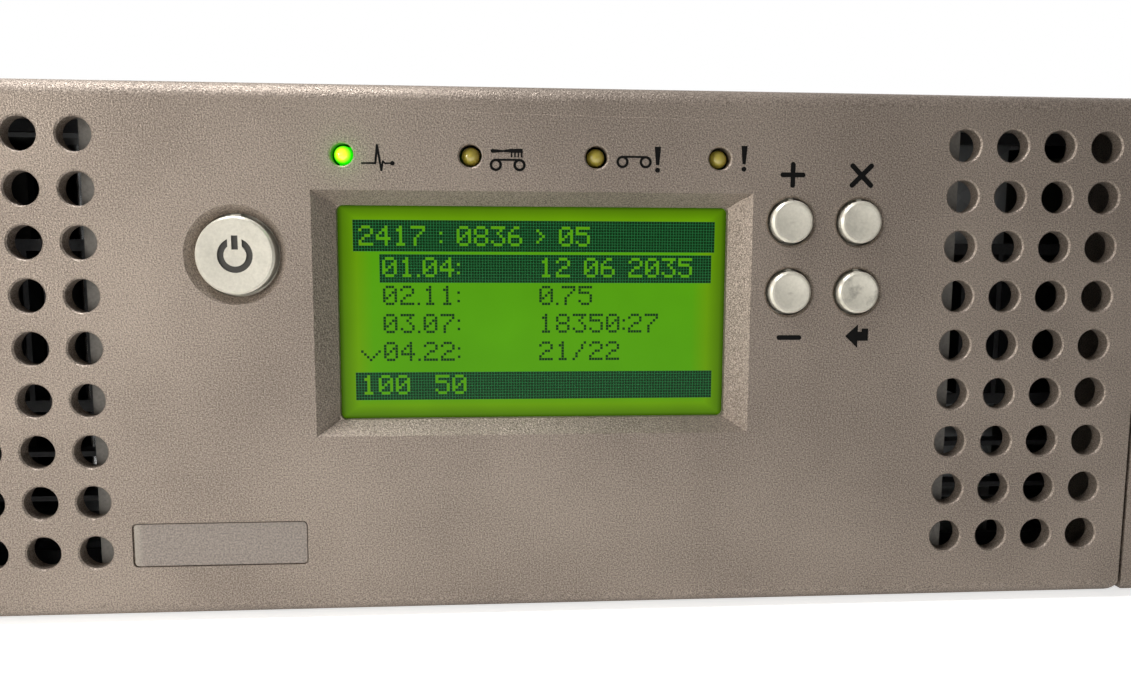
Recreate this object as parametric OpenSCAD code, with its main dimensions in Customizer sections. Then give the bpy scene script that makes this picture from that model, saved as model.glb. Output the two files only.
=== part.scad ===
// Two-unit rack tape library: two cartridge magazines that slide out of the front, a robot
// that runs between them, one half-height drive in a sled at the rear, and an operator panel.
// Units are millimetres. X is right seen from the front, Y runs to the rear, Z is up.

/* [Unit] */
// Overall width
unit_w = 447; // [440:1:540]
// Overall height
unit_h = 87; // [85:1:104]
// Depth from the front panel's face to the rear wall
chassis_len = 740; // [735:5:890]
// Thickness of the sheet steel
sheet_t = 1.2; // [1:0.1:1.5]

/* [Front panel] */
// Width of the centre panel
panel_w = 206; // [204:1:230]
// Wall thickness of the mouldings
wall_t = 2.6; // [2:0.1:3.2]
// Depth of the moulded bezels
bezel_d = 14; // [13:1:18]
// Radius of the long edges
edge_r = 3; // [2.7:0.1:5]
// Gap at the seams between the bezels
seam = 0.6; // [0.4:0.1:1.2]
// Diameter of a vent hole
vent_d = 5.3; // [4:0.1:6]
// Distance between vent rows
vent_pitch_z = 8.26; // [7.5:0.01:9]
// Distance between vent columns
vent_pitch_x = 8.15; // [7.5:0.01:9]
// Rows of vent holes
vent_rows = 9; // [3:1:9]
// Columns of vent holes on each side
vent_cols = 4; // [1:1:4]

/* [Operator controls] */
// Width of the display window
window_w = 64; // [50:1:68]
// Height of the display window
window_h = 35; // [28:1:38]
// Diameter of the power button's face
power_d = 12.3; // [9:0.1:14]
// Diameter of a key's face
key_d = 6.85; // [5:0.05:8]
// Distance between keys
key_pitch = 11.5; // [10:0.1:13]
// Travel of a key
key_travel = 0.8; // [0.5:0.1:1]
// Height of the keys above the panel
key_proud = 1; // [0.5:0.1:2]

/* [Cartridges and magazines] */
// Length of a tape cartridge, into its slot
cart_l = 102; // [95:0.5:106]
// Width of a tape cartridge, along the magazine
cart_w = 105.4; // [95:0.1:108]
// Thickness of a tape cartridge
cart_h = 21.5; // [18:0.1:22.2]
// Clearance around a cartridge in its slot
cart_gap = 0.5; // [0.3:0.1:0.8]
// Thickness of the magazine's shelves
shelf_t = 1.3; // [1:0.1:1.6]
// Thickness of the magazine's dividers
divider_t = 2.8; // [2:0.1:4]
// Columns of slots in a magazine
columns = 4; // [3:1:4]

/* [Robot] */
// Clearance round a cartridge as the turntable turns it
turn_gap = 1.27; // [0.6:0.01:2]
// Module of the rack and its pinion
gear_m = 1.5; // [1:0.1:1.6]
// Teeth on the pinion
pinion_teeth = 12; // [10:1:13]
// Diameter of the lift posts
post_d = 5; // [4:0.1:6]
// Diameter of the guide rod
rod_d = 4; // [3:0.1:4.4]

/* [Drive] */
// Width of the tape drive
drive_w = 146; // [140:1:150]
// Height of the tape drive
drive_h = 41; // [38:0.5:42]
// Length of the tape drive
drive_l = 205; // [190:1:206]
// How far the sled's handle stands out
handle_out = 29; // [24:1:40]

/* [Hidden] */
$fn = 48;
eps = 0.01;
fit = 0.3;                                   // running gap beside a sliding piece
bore_fit = 0.05;                             // radial clearance of a shaft in its bore
rows = 3;

overall_len = key_proud + chassis_len + handle_out;
front_y = -overall_len / 2 + key_proud;      // the panel's face
mid_z = unit_h / 2;
inner_x = unit_w / 2 - sheet_t;
rear_d = chassis_len;
screw_r = 1.5;

// Operator panel, measured from the panel's centre
panel_z = unit_h - 2 * seam;
vent_x = 70.7;                               // innermost column
vent_top = 34.4;                             // top row above mid height
led_x = -30.4;
led_pitch = 20.05;
led_z = 31.8;
led_hole_d = 3.6;
led_d = 3;
power_x = -47.2;
power_z = 16;
power_proud = 0.3;
well_d = power_d + 3.6;                      // countersunk ring round the power button
key_gap = 0.45;                              // gap round the button and the keys
rib_h = 0.35;                                // index rib on top of a button, inside the gap
key_x = 41.8;
key_top_z = 21.8;
funnel_w = window_w + 6.7;
funnel_h = window_h + 4.4;
funnel_deep = 3;
window_z = 6.6;
boss_deep = 4.2;                             // the window's moulded frame reaches this deep
tag_x = -65;
tag_z = -34.3;
tag_w = 27.8;
tag_h = 7.3;
tag_deep = 0.5;
glass_t = 1.2;
lug_h = 2;                                   // height of the clip lugs
housing_w = 142;
housing_h = panel_z - 2 * (wall_t + lug_h + fit);
housing_d = 16;
board_d = 10.4;
board_t = 1.6;
flange_d = wall_t + fit;                     // front of a key's retaining flange
flange_t = 1;
plunger_end = 7;
switch_front = plunger_end + key_travel + 0.2;
brace_d = housing_d;

// Magazines
mag_in = panel_w / 2 + 1.5;                  // inner face
mag_out = inner_x - sheet_t - 2 * fit;       // outer face, clear of the cover's flanges and screws
mag_wall = 2;
mag_z = 5;                                   // underside
slot_h = cart_h + 2 * cart_gap + 0.2;
slot_w = cart_w + 2 * cart_gap;
row_pitch = slot_h + shelf_t;
col_pitch = slot_w + divider_t;
slot_z = mag_z + 2;                          // floor of the lowest row
mag_front = bezel_d;
carriage_front = brace_d + 8;                // where the parked robot's frame begins
turn_r = norm([cart_l, cart_w]) / 2 + turn_gap;
ring_in = turn_r + 3.4;                      // hole in the robot's frame
ring_y = ring_in + 8;                        // half length of the robot's frame
slot_d = carriage_front + ring_y - slot_w / 2;  // front of the first column, reached by the parked robot
mag_end = slot_d + columns * col_pitch;
mag_top = slot_z + rows * row_pitch;
cart_in = mag_in + 1.5;                      // inner end of a seated cartridge
spring_x = cart_in + cart_l;
catch_z = slot_z + row_pitch + 2;
catch_len = 16;
catch_t = 1.6;
catch_x = mag_in + 46;
catch_arm = 8.6;                             // height of the catch's arm above its tooth's foot
lock_d = mag_end + catch_len - 6;            // axis of the lock
lock_z = catch_z + 6;
lock_r = 2;
lock_travel = 6;
lock_x = catch_x + 9;
coil_l = 24;
pull_w = 84;
pull_h = 22;
pull_t = 1.8;                                // wall of the pull's cup
pull_deep = bezel_d - pull_t;
mail_w = cart_l + 8;
mail_x = -(mag_out - mag_wall - 1.3);         // outer side of the mail slot's tray
mail_gap = 0.5;
mail_h = slot_h - 2 * fit;
mail_front_h = slot_h + 3;
mail_front_z = slot_z - 1.7;
runner_h = mag_z - fit;
lip_t = 1.6;

// Robot, about its own centre at the first column
robot_d = slot_d + slot_w / 2;
ring_z = 2.4;
ring_t = 2;
ring_x = 94;
pivot_r = 5;
dish_r = turn_r + 2.4;
dish_t = 1.4;
turn_z = ring_z + dish_t + fit;
turn_top = slot_z - 0.6;
arm_z = ring_z + ring_t + 0.4;
bush_h = 8;
post_x = 86;
post_y = ring_y - 14;
tower_top = mag_top + 1;
bridge_t = 2;
bridge_y = ring_y - 20;
rod_x = -98.5;
rod_z = 4.4;
rack_top = 6.4;
rack_pitch_x = 98.4;
rack_back_x = 101.8;
pinion_r = gear_m * pinion_teeth / 2;
pinion_x = rack_pitch_x - pinion_r - 0.2;      // 0.2 is the backlash
pinion_y = 16 - ring_y;
pinion_z = ring_z + ring_t + fit;
pinion_h = 4;
motor_r = 8;
motor_z = 12;
motor_h = 30;
lift_motor_h = 15;
aisle_end = slot_d + (columns - 1) * col_pitch + slot_w / 2 + ring_y;
picker_w = slot_w / 2;
picker_t = 1.7;
picker_top = turn_top + cart_h + 3;
gripper_y = -58;

// Rear
drive_d = aisle_end + 1.4;
sled_x = drive_w / 2 + 0.5;
sled_z = sheet_t + 0.8;
ledge_t = 0.5;
sled_t = 1;
drive_z = sled_z + sled_t + 0.2;
bay_x = sled_x + sled_t + 3.5;
bay_h = drive_h + 3;
bay_split = sled_z + bay_h;
plate_x = bay_x + 9;                         // half width of the plates at the rear bays
bay_screw_x = bay_x + 5;
slot_mouth_z = drive_z + 7;
psu_x = -(inner_x - 8);
psu_w = 108;
psu_h = 40;
psu_l = 180;
psu_z = sheet_t + 0.2;
fan_r = 17;
fan_x = psu_x + 24;
fan_z = psu_z + psu_h / 2;
inlet_x = psu_x + psu_w - 24;
inlet_w = 24;
inlet_h = 16.5;
card_x = inner_x - 8;
card_w = 108;
card_h = 40;
card_z = sheet_t + 0.8;
board_low = card_z + 4 + sheet_t;             // underside of the controller board
port_x = card_x - card_w + 20.7;
port_w = 16;
port_h = 13;
port_z = board_low + board_t;
service_x = card_x - card_w + 48.7;
sled_fan_r = 12;
sled_fan_x = 52;
sled_fan_z = drive_z + drive_h / 2;
sas_x = -50;

// ---------- helpers ----------

// Stands a flat outline up: its x runs to the rear, its y up, and it is w wide along X
module across(x0, w) translate([x0, 0, 0]) rotate([90, 0, 90]) linear_extrude(height = w) children();

// Lays an outline in the front plane: its x runs right, its y up, from depth d, t deep
module facing(d, t) translate([0, d + t, 0]) rotate([90, 0, 0]) linear_extrude(height = t) children();

// A round bar or hole along Y from depth d0 to d1
module along_y(x, z, r1, d0, d1, r2 = -1)
    translate([x, d0, z]) rotate([-90, 0, 0])
        cylinder(r1 = r1, r2 = (r2 < 0 ? r1 : r2), h = d1 - d0);

// Flat rectangle with round corners, or a slot with round ends
module rounded(w, h, r) {
    if (w > 2 * r) translate([r, 0]) square([w - 2 * r, h]);
    if (h > 2 * r) translate([0, r]) square([w, h - 2 * r]);
    for (x = [r, w - r], y = [r, h - r]) translate([x, y]) circle(r = r);
}

module block(x0, x1, d0, d1, z0, z1)
    translate([min(x0, x1), d0, z0]) cube([abs(x1 - x0), d1 - d0, z1 - z0]);

// Depths are measured from the panel's face
module placed() translate([0, front_y, 0]) children();

// Outline of a bezel seen from its end, with both long edges rounded
module bezel_outline() {
    translate([edge_r, 0]) square([bezel_d - edge_r, panel_z]);
    translate([0, edge_r]) square([edge_r, panel_z - 2 * edge_r]);
    for (z = [edge_r, panel_z - edge_r]) translate([edge_r, z]) circle(r = edge_r);
}

// A bezel moulding from x0 to x0 + w: a thin shell, open at the rear
module bezel_shell(x0, w) {
    corner_r = 2.4;
    translate([0, 0, seam]) difference() {
        intersection() {
            across(x0, w) bezel_outline();
            facing(0, bezel_d) translate([x0, 0]) rounded(w, panel_z, corner_r);
        }
        block(x0 + wall_t, x0 + w - wall_t, wall_t, bezel_d + 1, wall_t, panel_z - wall_t);
    }
}

// ---------- chassis ----------

module base_tray() color("gainsboro") placed() {
    side_hole_r = 2.1;
    bend_r = 1.6;
    difference() {
        across(-unit_w / 2, unit_w) {
            translate([bezel_d, 0]) square([rear_d - sheet_t - bezel_d, unit_h - sheet_t]);
        }
        difference() {
            block(-inner_x, inner_x, bezel_d - 1, rear_d, sheet_t, unit_h);
            for (s = [-1, 1]) difference() {
                block(s * inner_x, s * (inner_x - bend_r), 0, rear_d, sheet_t, sheet_t + bend_r);
                along_y(s * (inner_x - bend_r), sheet_t + bend_r, bend_r, -1, rear_d + 1);
            }
        }
        for (s = [-1, 1], d = [110, 530])
            translate([s * inner_x, d, mid_z]) rotate([0, 90, 0])
                cylinder(r = side_hole_r, h = 8, center = true);
        for (s = [-1, 1], d = cover_screw_depths())
            translate([s * inner_x, d, unit_h - 8]) rotate([0, 90, 0])
                cylinder(r = screw_r + 0.1, h = 8, center = true);
    }
}

function cover_screw_depths() = [for (i = [0:3]) bezel_d + 40 + i * (rear_d - bezel_d - 90) / 3];

module top_cover() color("gainsboro") placed() {
    flange = 14;
    stiff_w = 60;
    difference() {
        union() {
            block(-unit_w / 2, unit_w / 2, bezel_d, rear_d, unit_h - sheet_t, unit_h);
            for (s = [-1, 1])
                block(s * (inner_x - sheet_t), s * inner_x, bezel_d + 20, rear_d - 20,
                    unit_h - sheet_t - flange, unit_h - sheet_t);
            block(-inner_x + 30, inner_x - 30, bezel_d, bezel_d + sheet_t, unit_h - 5, unit_h - sheet_t);
        }
        for (s = [-1, 1], d = cover_screw_depths())
            translate([s * inner_x, d, unit_h - 8]) rotate([0, 90, 0])
                cylinder(r = screw_r + 0.1, h = 8, center = true);
        // pressed stiffening channels
        for (d = [190, 400]) translate([-stiff_w * 1.5, d, unit_h - 0.5]) cube([stiff_w * 3, 8, 1]);
    }
}

module cover_screws() color("silver") placed()
    for (s = [-1, 1], d = cover_screw_depths())
        translate([s * unit_w / 2, d, unit_h - 8]) rotate([0, -s * 90, 0]) {
            translate([0, 0, 0.2]) cylinder(r = screw_r, h = 2 * sheet_t + 0.2);
        }

// Screws that hold the sled and the bay's cover
function bay_screw_heights() = [sled_z + 9, (bay_split + unit_h) / 2];

module vent_slots(x0, x1, z0, z1) {
    slot_wide = 3;
    n = floor((x1 - x0) / 7);
    for (i = [0:n - 1]) translate([x0 + i * 7, z0]) rounded(slot_wide, z1 - z0, slot_wide / 2);
}

module rear_panel() color("gainsboro") placed() {
    release_r = 3;
    facing(rear_d - sheet_t, sheet_t) difference() {
        translate([-unit_w / 2, 0]) square([unit_w, unit_h - sheet_t]);
        translate([-bay_x, sled_z - 0.3]) square([2 * bay_x, unit_h - 2 * sheet_t - sled_z]);
        for (s = [-1, 1], z = bay_screw_heights()) translate([s * bay_screw_x, z]) circle(r = 2.1);
        translate([psu_x, psu_z]) square([psu_w, psu_h]);
        translate([card_x - card_w, card_z]) square([card_w, card_h]);
        vent_slots(psu_x + 8, psu_x + psu_w - 8, psu_z + psu_h + 8, unit_h - 10);
        vent_slots(card_x - card_w + 8, card_x - 8, card_z + card_h + 8, unit_h - 10);
        for (s = [-1, 1]) translate([s * (inner_x - 5), mid_z + 8]) circle(r = release_r);
    }
}

module front_brace() color("dimgray") placed() {
    side_x = panel_w / 2 - 1.2;
    opening_x = housing_w / 2 + 2;
    bar = 2;
    difference() {
        union() {
            block(-side_x, side_x, brace_d, brace_d + sheet_t, sheet_t, unit_h - sheet_t);
            block(-side_x, side_x, brace_d, brace_d + 3.6, sheet_t, 2 * sheet_t);
        }
        for (s = [-1, 1]) block(s * opening_x, s * (side_x - 3), 0, brace_d + 10, 7, unit_h - 7);
        block(-30, 30, 0, brace_d + 10, unit_h - 30, unit_h - 14);
    }
    // louvres behind the vents
    for (s = [-1, 1]) {
        for (i = [0:4])
            block(s * (opening_x - 1), s * (side_x - 2), brace_d, brace_d + 4, 12 + i * 4, 12.9 + i * 4);
        for (i = [0:6])
            block(s * (opening_x + i * 3.4), s * (opening_x + i * 3.4 + 0.9), brace_d, brace_d + 4, 34, 60);
        block(s * (opening_x - 1), s * (side_x - 2), brace_d, brace_d + sheet_t, 32, 34);
        block(s * (opening_x - 1), s * (side_x - 2), brace_d, brace_d + sheet_t, 60, 62);
    }
}

// ---------- operator panel ----------

// A four-sided funnel, wide at the face and narrow at the window
module funnel_cut() {
    deep = funnel_deep;
    intersection() {
        translate([0, 0, mid_z + window_z - funnel_h]) linear_extrude(height = 2 * funnel_h)
            polygon([[-funnel_w / 2, 0], [funnel_w / 2, 0], [window_w / 2, deep], [-window_w / 2, deep]]);
        across(-funnel_w, 2 * funnel_w)
            polygon([[0, mid_z + window_z - funnel_h / 2], [0, mid_z + window_z + funnel_h / 2],
                [deep, mid_z + window_z + window_h / 2], [deep, mid_z + window_z - window_h / 2]]);
    }
}

module vent_cuts() {
    lip = 0.25;
    for (s = [-1, 1], c = [0:vent_cols - 1], r = [0:vent_rows - 1]) {
        x = s * (vent_x + c * vent_pitch_x);
        z = mid_z + vent_top - r * vent_pitch_z;
        along_y(x, z, vent_d / 2, -1, wall_t + 1);
        along_y(x, z, vent_d / 2 + lip, -eps, lip, vent_d / 2);
    }
}

module control_cuts() {
    rim = 0.35;
    led_rim = 0.25;
    power_hole = power_d / 2 + key_gap;
    key_hole = key_d / 2 + key_gap;
    for (i = [0:3]) {
        x = led_x + i * led_pitch;
        along_y(x, mid_z + led_z, led_hole_d / 2, -1, boss_deep + 1);
        along_y(x, mid_z + led_z, led_hole_d / 2 + led_rim, -eps, led_rim, led_hole_d / 2);
    }
    along_y(power_x, mid_z + power_z, power_hole, -1, boss_deep + 1);
    along_y(power_x, mid_z + power_z, well_d / 2, -eps, 1.5, power_hole);
    for (i = [0, 1], j = [0, 1]) {
        x = key_x + i * key_pitch;
        z = mid_z + key_top_z - j * key_pitch;
        along_y(x, z, key_hole, -1, boss_deep + 1);
        along_y(x, z, key_hole + rim, -eps, rim, key_hole);
    }
}

module front_panel() color("#8d8780") placed() {
    boss_w = window_w + 9;
    boss_h = window_h + 8;
    post_r = 2.6;
    difference() {
        union() {
            bezel_shell(-panel_w / 2 + seam / 2, panel_w - seam);
            block(-boss_w / 2, boss_w / 2, wall_t - 1, boss_deep, mid_z + window_z - boss_h / 2,
                mid_z + window_z + boss_h / 2);
            for (x = [-61, 61], z = [-32, 31.5]) along_y(x, mid_z + z, post_r, wall_t - 1, board_d);
            // clip lugs on the top and bottom walls
            for (x = [-85, -20, 20, 85], z = [seam + wall_t - eps, unit_h - seam - wall_t - lug_h + eps])
                block(x - 4, x + 4, bezel_d - 3, bezel_d, z, z + lug_h);
        }
        funnel_cut();
        facing(funnel_deep - eps, 3) translate([-window_w / 2, mid_z + window_z - window_h / 2])
            rounded(window_w, window_h, 1);
        vent_cuts();
        control_cuts();
        facing(-1, 1 + tag_deep) translate([tag_x, mid_z + tag_z]) rounded(tag_w, tag_h, 0.8);
        for (x = [-61, 61], z = [-32, 31.5]) along_y(x, mid_z + z, 1.1, wall_t + 1, board_d + 1);
    }
}

module tag_plate() color("#a19b92") placed()
    facing(tag_deep - 0.35, 0.35)
        translate([tag_x + 0.3, mid_z + tag_z + 0.2]) rounded(tag_w - 0.5, tag_h - 0.4, 0.6);

module operator_housing() color("#6d6963") placed() {
    rim = 3.4;
    back = 1.5;
    low = mid_z - housing_h / 2;
    difference() {
        block(-housing_w / 2, housing_w / 2, wall_t, housing_d, low, low + housing_h);
        block(-housing_w / 2 + rim, housing_w / 2 - rim, 0, housing_d - back,
            low + rim, low + housing_h - rim);
        facing(housing_d - 3, 4) for (i = [0:9])
            translate([-50 + i * 10.4, mid_z - 30]) rounded(5, 16, 2);
    }
}

module operator_board() color("darkgreen") placed() {
    difference() {
        block(-66, 66, board_d, board_d + board_t, mid_z - 34, mid_z + 34);
        for (x = [-61, 61], z = [-32, 31.5]) along_y(x, mid_z + z, 1.2, board_d - 1, board_d + 4);
    }
    // switches behind the button and the keys
    for (p = button_places()) {
        block(p[0] - 3, p[0] + 3, switch_front + 1, board_d, p[1] - 3, p[1] + 3);
        along_y(p[0], p[1], 1.4, switch_front, switch_front + 1);
    }
}

function button_places() = concat([[power_x, mid_z + power_z]],
    [for (i = [0, 1], j = [0, 1]) [key_x + i * key_pitch, mid_z + key_top_z - j * key_pitch]]);

module display_module() color("dimgray") placed() {
    w = window_w + 7;
    h = window_h + 6;
    zc = mid_z + window_z;
    difference() {
        block(-w / 2, w / 2, boss_deep, board_d, zc - h / 2, zc + h / 2);
        block(-w / 2 + 1.6, w / 2 - 1.6, 0, boss_deep + glass_t, zc - h / 2 + 1.6, zc + h / 2 - 1.6);
    }
}

module display_glass() color("yellowgreen") placed() {
    w = window_w + 3.6;
    h = window_h + 2.6;
    zc = mid_z + window_z;
    block(-w / 2, w / 2, boss_deep, boss_deep + glass_t, zc - h / 2, zc + h / 2);
}

module status_lenses() color("olive") placed()
    for (i = [0:3]) translate([led_x + i * led_pitch, 0, mid_z + led_z]) {
        translate([0, led_d / 2 + 0.6, 0]) sphere(r = led_d / 2);
        rotate([-90, 0, 0]) {
            translate([0, 0, led_d / 2 + 0.6]) cylinder(r = led_d / 2, h = board_d - led_d / 2 - 0.6);
            translate([0, 0, board_d - 1.5]) cylinder(r = led_d / 2 + 0.5, h = 1.5);
        }
    }

// A push button: bevelled and dished face, flange behind the panel, plunger,
// and a small rib down in the gap that keeps it from turning
module push_button(x, z, d, proud, rib_w, rib_d) {
    r = d / 2;
    bevel = 0.35;
    dish = 0.28;
    ball = (pow(r - 2 * bevel, 2) + dish * dish) / (2 * dish);
    translate([x, 0, z]) rotate([-90, 0, 0]) difference() {
        union() {
            translate([0, 0, -proud]) cylinder(r1 = r - bevel, r2 = r, h = bevel);
            translate([0, 0, bevel - proud]) cylinder(r = r, h = proud - bevel + flange_d + flange_t);
            translate([0, 0, flange_d]) cylinder(r = r + 0.9, h = flange_t);
            translate([0, 0, flange_d]) cylinder(r = 1.6, h = plunger_end - flange_d);
        }
        translate([0, 0, dish - proud - ball]) sphere(r = ball, $fn = 96);
    }
    block(x - rib_w / 2, x + rib_w / 2, rib_d, flange_d + eps, z + r - 0.4, z + r + rib_h);
}

module power_button() color("#cbc8bd") placed() {
    ring_out = 2.75;
    ring_hole = 1.75;
    groove = 0.25;
    z = mid_z + power_z;
    difference() {
        push_button(power_x, z, power_d, power_proud, 1.5, 1.5);
        difference() {
            along_y(power_x, z, ring_out, -1, groove);
            along_y(power_x, z, ring_hole, -2, groove + 1);
            block(power_x - 1.1, power_x + 1.1, -2, groove + 1, z, z + 4);
        }
        block(power_x - 0.5, power_x + 0.5, -1, groove, z + 0.9, z + 3.1);
    }
}

module key_cap(i, j) color("#cbc8bd") placed()
    push_button(key_x + i * key_pitch, mid_z + key_top_z - j * key_pitch, key_d, key_proud, 0.8, 0.8);

module key_up() key_cap(0, 0);
module key_cancel() key_cap(1, 0);
module key_down() key_cap(0, 1);
module key_enter() key_cap(1, 1);

// ---------- magazines ----------

module magazine_runners() color("darkgray") placed()
    for (s = [-1, 1]) {
        across(s * (mag_in + 12) - 6, 12)
            translate([mag_front + 10, sheet_t]) square([mag_end - mag_front - 12, runner_h - sheet_t]);
        across(s * (mag_out - 14) - 6, 12)
            translate([mag_front + 10, sheet_t]) square([mag_end - mag_front - 12, runner_h - sheet_t]);
        block(s * (mag_in - fit), s * (mag_in - fit - lip_t), mag_front + 20, mag_end - 2, sheet_t,
            rack_top);
    }

// The finger pull: a round-ended pocket with a lip that hangs over its top edge
module pull_pocket(x) {
    z0 = unit_h - seam - 10 - pull_h;
    facing(-1, 1 + pull_deep) translate([x - pull_w / 2, z0]) rounded(pull_w, pull_h, 6);
    facing(wall_t, pull_deep - wall_t) translate([x - pull_w / 2, z0]) rounded(pull_w, pull_h + 5, 6);
}

module pull_cup(x) {
    t = pull_t;
    z0 = unit_h - seam - 10 - pull_h - t;
    facing(wall_t - eps, bezel_d - wall_t) translate([x - pull_w / 2 - t, z0])
        rounded(pull_w + 2 * t, pull_h + 5 + 2 * t, 6 + t);
}

module magazine_bezel(s) {
    x0 = s > 0 ? panel_w / 2 + seam / 2 : -unit_w / 2;
    w = unit_w / 2 - panel_w / 2 - seam / 2;
    xc = x0 + w / 2;
    difference() {
        union() {
            bezel_shell(x0, w);
            pull_cup(xc);
        }
        pull_pocket(xc);
    }
}

module magazine_left_bezel() color("#8d8780") placed()
    difference() {
        magazine_bezel(-1);
        facing(-1, bezel_d + 2) translate([mail_x - 0.2 - mail_gap, mail_front_z - mail_gap])
            rounded(mail_w + 0.4 + 2 * mail_gap, mail_front_h + 2 * mail_gap, 1.5);
    }

module magazine_right_bezel() color("#8d8780") placed()
    difference() {
        magazine_bezel(1);
        // a row of vents below the pull, as on the centre panel
        for (c = [0:8], r = [0:2]) {
            x = panel_w / 2 + 27 + c * vent_pitch_x;
            along_y(x, 16 + r * vent_pitch_z, vent_d / 2, -1, wall_t + 1);
        }
    }

module magazine_wall(s) color("#6f6c67") placed() {
    window_l = 60;
    difference() {
        block(s * (mag_out - mag_wall), s * mag_out, mag_front, mag_end, mag_z, mag_top + shelf_t);
        for (c = [0:columns - 1], r = [0:rows - 1]) {
            d0 = slot_d + c * col_pitch + (slot_w - window_l) / 2;
            z0 = slot_z + r * row_pitch + 5;
            translate([s * (mag_out - mag_wall / 2) - 3, d0, z0]) rotate([90, 0, 90])
                linear_extrude(height = 6) rounded(window_l, slot_h - 10, 4);
        }
    }
}

// Shelves: two thick end plates and thin ones between the rows, cut away at the mouth of each slot
module magazine_shelves(s) color("#7d7a75") placed() {
    notch_r = 14;
    for (i = [0:rows]) difference() {
        z0 = i == 0 ? mag_z : slot_z + i * row_pitch - shelf_t;
        z1 = i == 0 ? slot_z : z0 + shelf_t;
        block(s * mag_in, s * (mag_out - mag_wall), mag_front, mag_end, z0, z1);
        for (c = [0:columns - 1])
            translate([s * mag_in, slot_d + c * col_pitch + slot_w / 2, z0 - 1])
                cylinder(r = notch_r, h = 5);
        if (i == 1 && s < 0) block(-inner_x, -mag_in + 1, 0, slot_d - divider_t, z0 - 1, z1 + 1);
    }
    // arm that carries the catch over the lock's plunger
    block(s * catch_x, s * (catch_x + catch_t), mag_end, mag_end + catch_len, catch_z + catch_arm,
        catch_z + 12);
    // sprung fingers that hold the cartridges forward
    for (c = [0:columns - 1], r = [0:rows - 1]) {
        dc = slot_d + c * col_pitch + slot_w / 2;
        zc = slot_z + r * row_pitch + slot_h / 2;
        if (!(s < 0 && c == 0 && r == 0)) translate([0, dc - 9, 0]) rotate([-90, 0, 0])
            linear_extrude(height = 18)
                polygon([[s * (mag_out - mag_wall), -zc - 6], [s * (mag_out - mag_wall), -zc + 6],
                [s * (mag_out - mag_wall - 1), -zc + 6], [s * (spring_x + 0.3), -zc]]);
    }
}

module magazine_dividers(s) color("#6f6c67") placed() {
    for (r = [0:rows - 1]) {
        z0 = slot_z + r * row_pitch;
        for (c = [0:columns]) if (!(s < 0 && c == 0 && r == 0)) {
            d0 = slot_d - divider_t + c * col_pitch;
            block(s * mag_in, s * (mag_out - mag_wall), d0, d0 + divider_t, z0, z0 + slot_h);
        }
        if (!(s < 0 && r == 0))
            block(s * (mag_in + 4), s * (mag_out - mag_wall), mag_front, mag_front + divider_t,
                z0, z0 + slot_h);
    }
    // tooth of the catch, behind the lock's plunger
    block(s * catch_x, s * (catch_x + catch_t), lock_d + lock_r + 0.4, mag_end + catch_len,
        catch_z, catch_z + catch_arm);
}

module magazine_left_wall() magazine_wall(-1);
module magazine_left_shelves() magazine_shelves(-1);
module magazine_left_dividers() magazine_dividers(-1);
module magazine_right_wall() magazine_wall(1);
module magazine_right_shelves() magazine_shelves(1);
module magazine_right_dividers() magazine_dividers(1);

module mail_slot_bezel() color("#8d8780") placed() {
    z0 = mail_front_z;
    x0 = mail_x - 0.2;
    w = mail_w + 0.4;
    difference() {
        facing(0, bezel_d - 1) translate([x0, z0]) rounded(w, mail_front_h, 1.2);
        facing(wall_t, bezel_d) translate([x0 + wall_t, z0 + wall_t])
            square([w - 2 * wall_t, mail_front_h - 2 * wall_t]);
        // finger groove in the upper edge
        translate([x0 + w / 2 - 24, 2.6, z0 + mail_front_h]) rotate([0, 90, 0]) cylinder(r = 2.2, h = 48);
    }
}

module mail_slot_tray() color("#7d7a75") placed() {
    t = 1.2;
    x0 = mail_x;
    d1 = slot_d + slot_w - fit;
    difference() {
        block(x0, x0 + mail_w, bezel_d - 1, d1, slot_z + fit, slot_z + fit + mail_h);
        block(x0 + 3, x0 + mail_w + 1, slot_d - fit, d1 - t, slot_z + fit + 0.9, slot_z + 40);
        block(x0 + t, x0 + mail_w - t, bezel_d + 2, slot_d - 3, slot_z + fit + 0.9, slot_z + 40);
    }
}

module tape_cartridge() color("#2b2b30") placed() {
    x0 = cart_in;
    d0 = slot_d + col_pitch + cart_gap;
    z0 = slot_z + 0.1;
    r = 3;
    difference() {
        translate([x0, d0, z0]) linear_extrude(height = cart_h) rounded(cart_l, cart_w, r);
        // recessed label field, notches and hub opening
        block(x0 - 1, x0 + 0.6, d0 + 12, d0 + cart_w - 12, z0 + 4, z0 + cart_h - 4);
        for (d = [d0, d0 + cart_w - 2]) block(x0 + 18, x0 + 24, d - 0.1, d + 2.1, z0 + 6, z0 + cart_h - 6);
        translate([x0 + cart_l / 2, d0 + cart_w / 2, z0 - 1]) cylinder(r = 17, h = 2.5);
        translate([x0 + 8, d0 + 14, z0 + cart_h - 0.4]) cube([cart_l - 30, cart_w - 28, 1]);
    }
    translate([x0 + cart_l / 2, d0 + cart_w / 2, z0 + 0.3]) difference() {
        cylinder(r = 15, h = 1.2);
        translate([0, 0, -1]) cylinder(r = 6, h = 3);
    }
}

// ---------- robot ----------

module guide_rod() color("silver") placed() along_y(rod_x, rod_z, rod_d / 2, 20, aisle_end + 4);

module rod_clamps() color("dimgray") placed()
    for (d = [20, aisle_end - 3]) difference() {
        block(rod_x - 3.6, rod_x + 4, d, d + 7, sheet_t, rod_z + rod_d / 2 + 1.2);
        along_y(rod_x, rod_z, rod_d / 2, d - 1, d + 8);
    }

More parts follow.
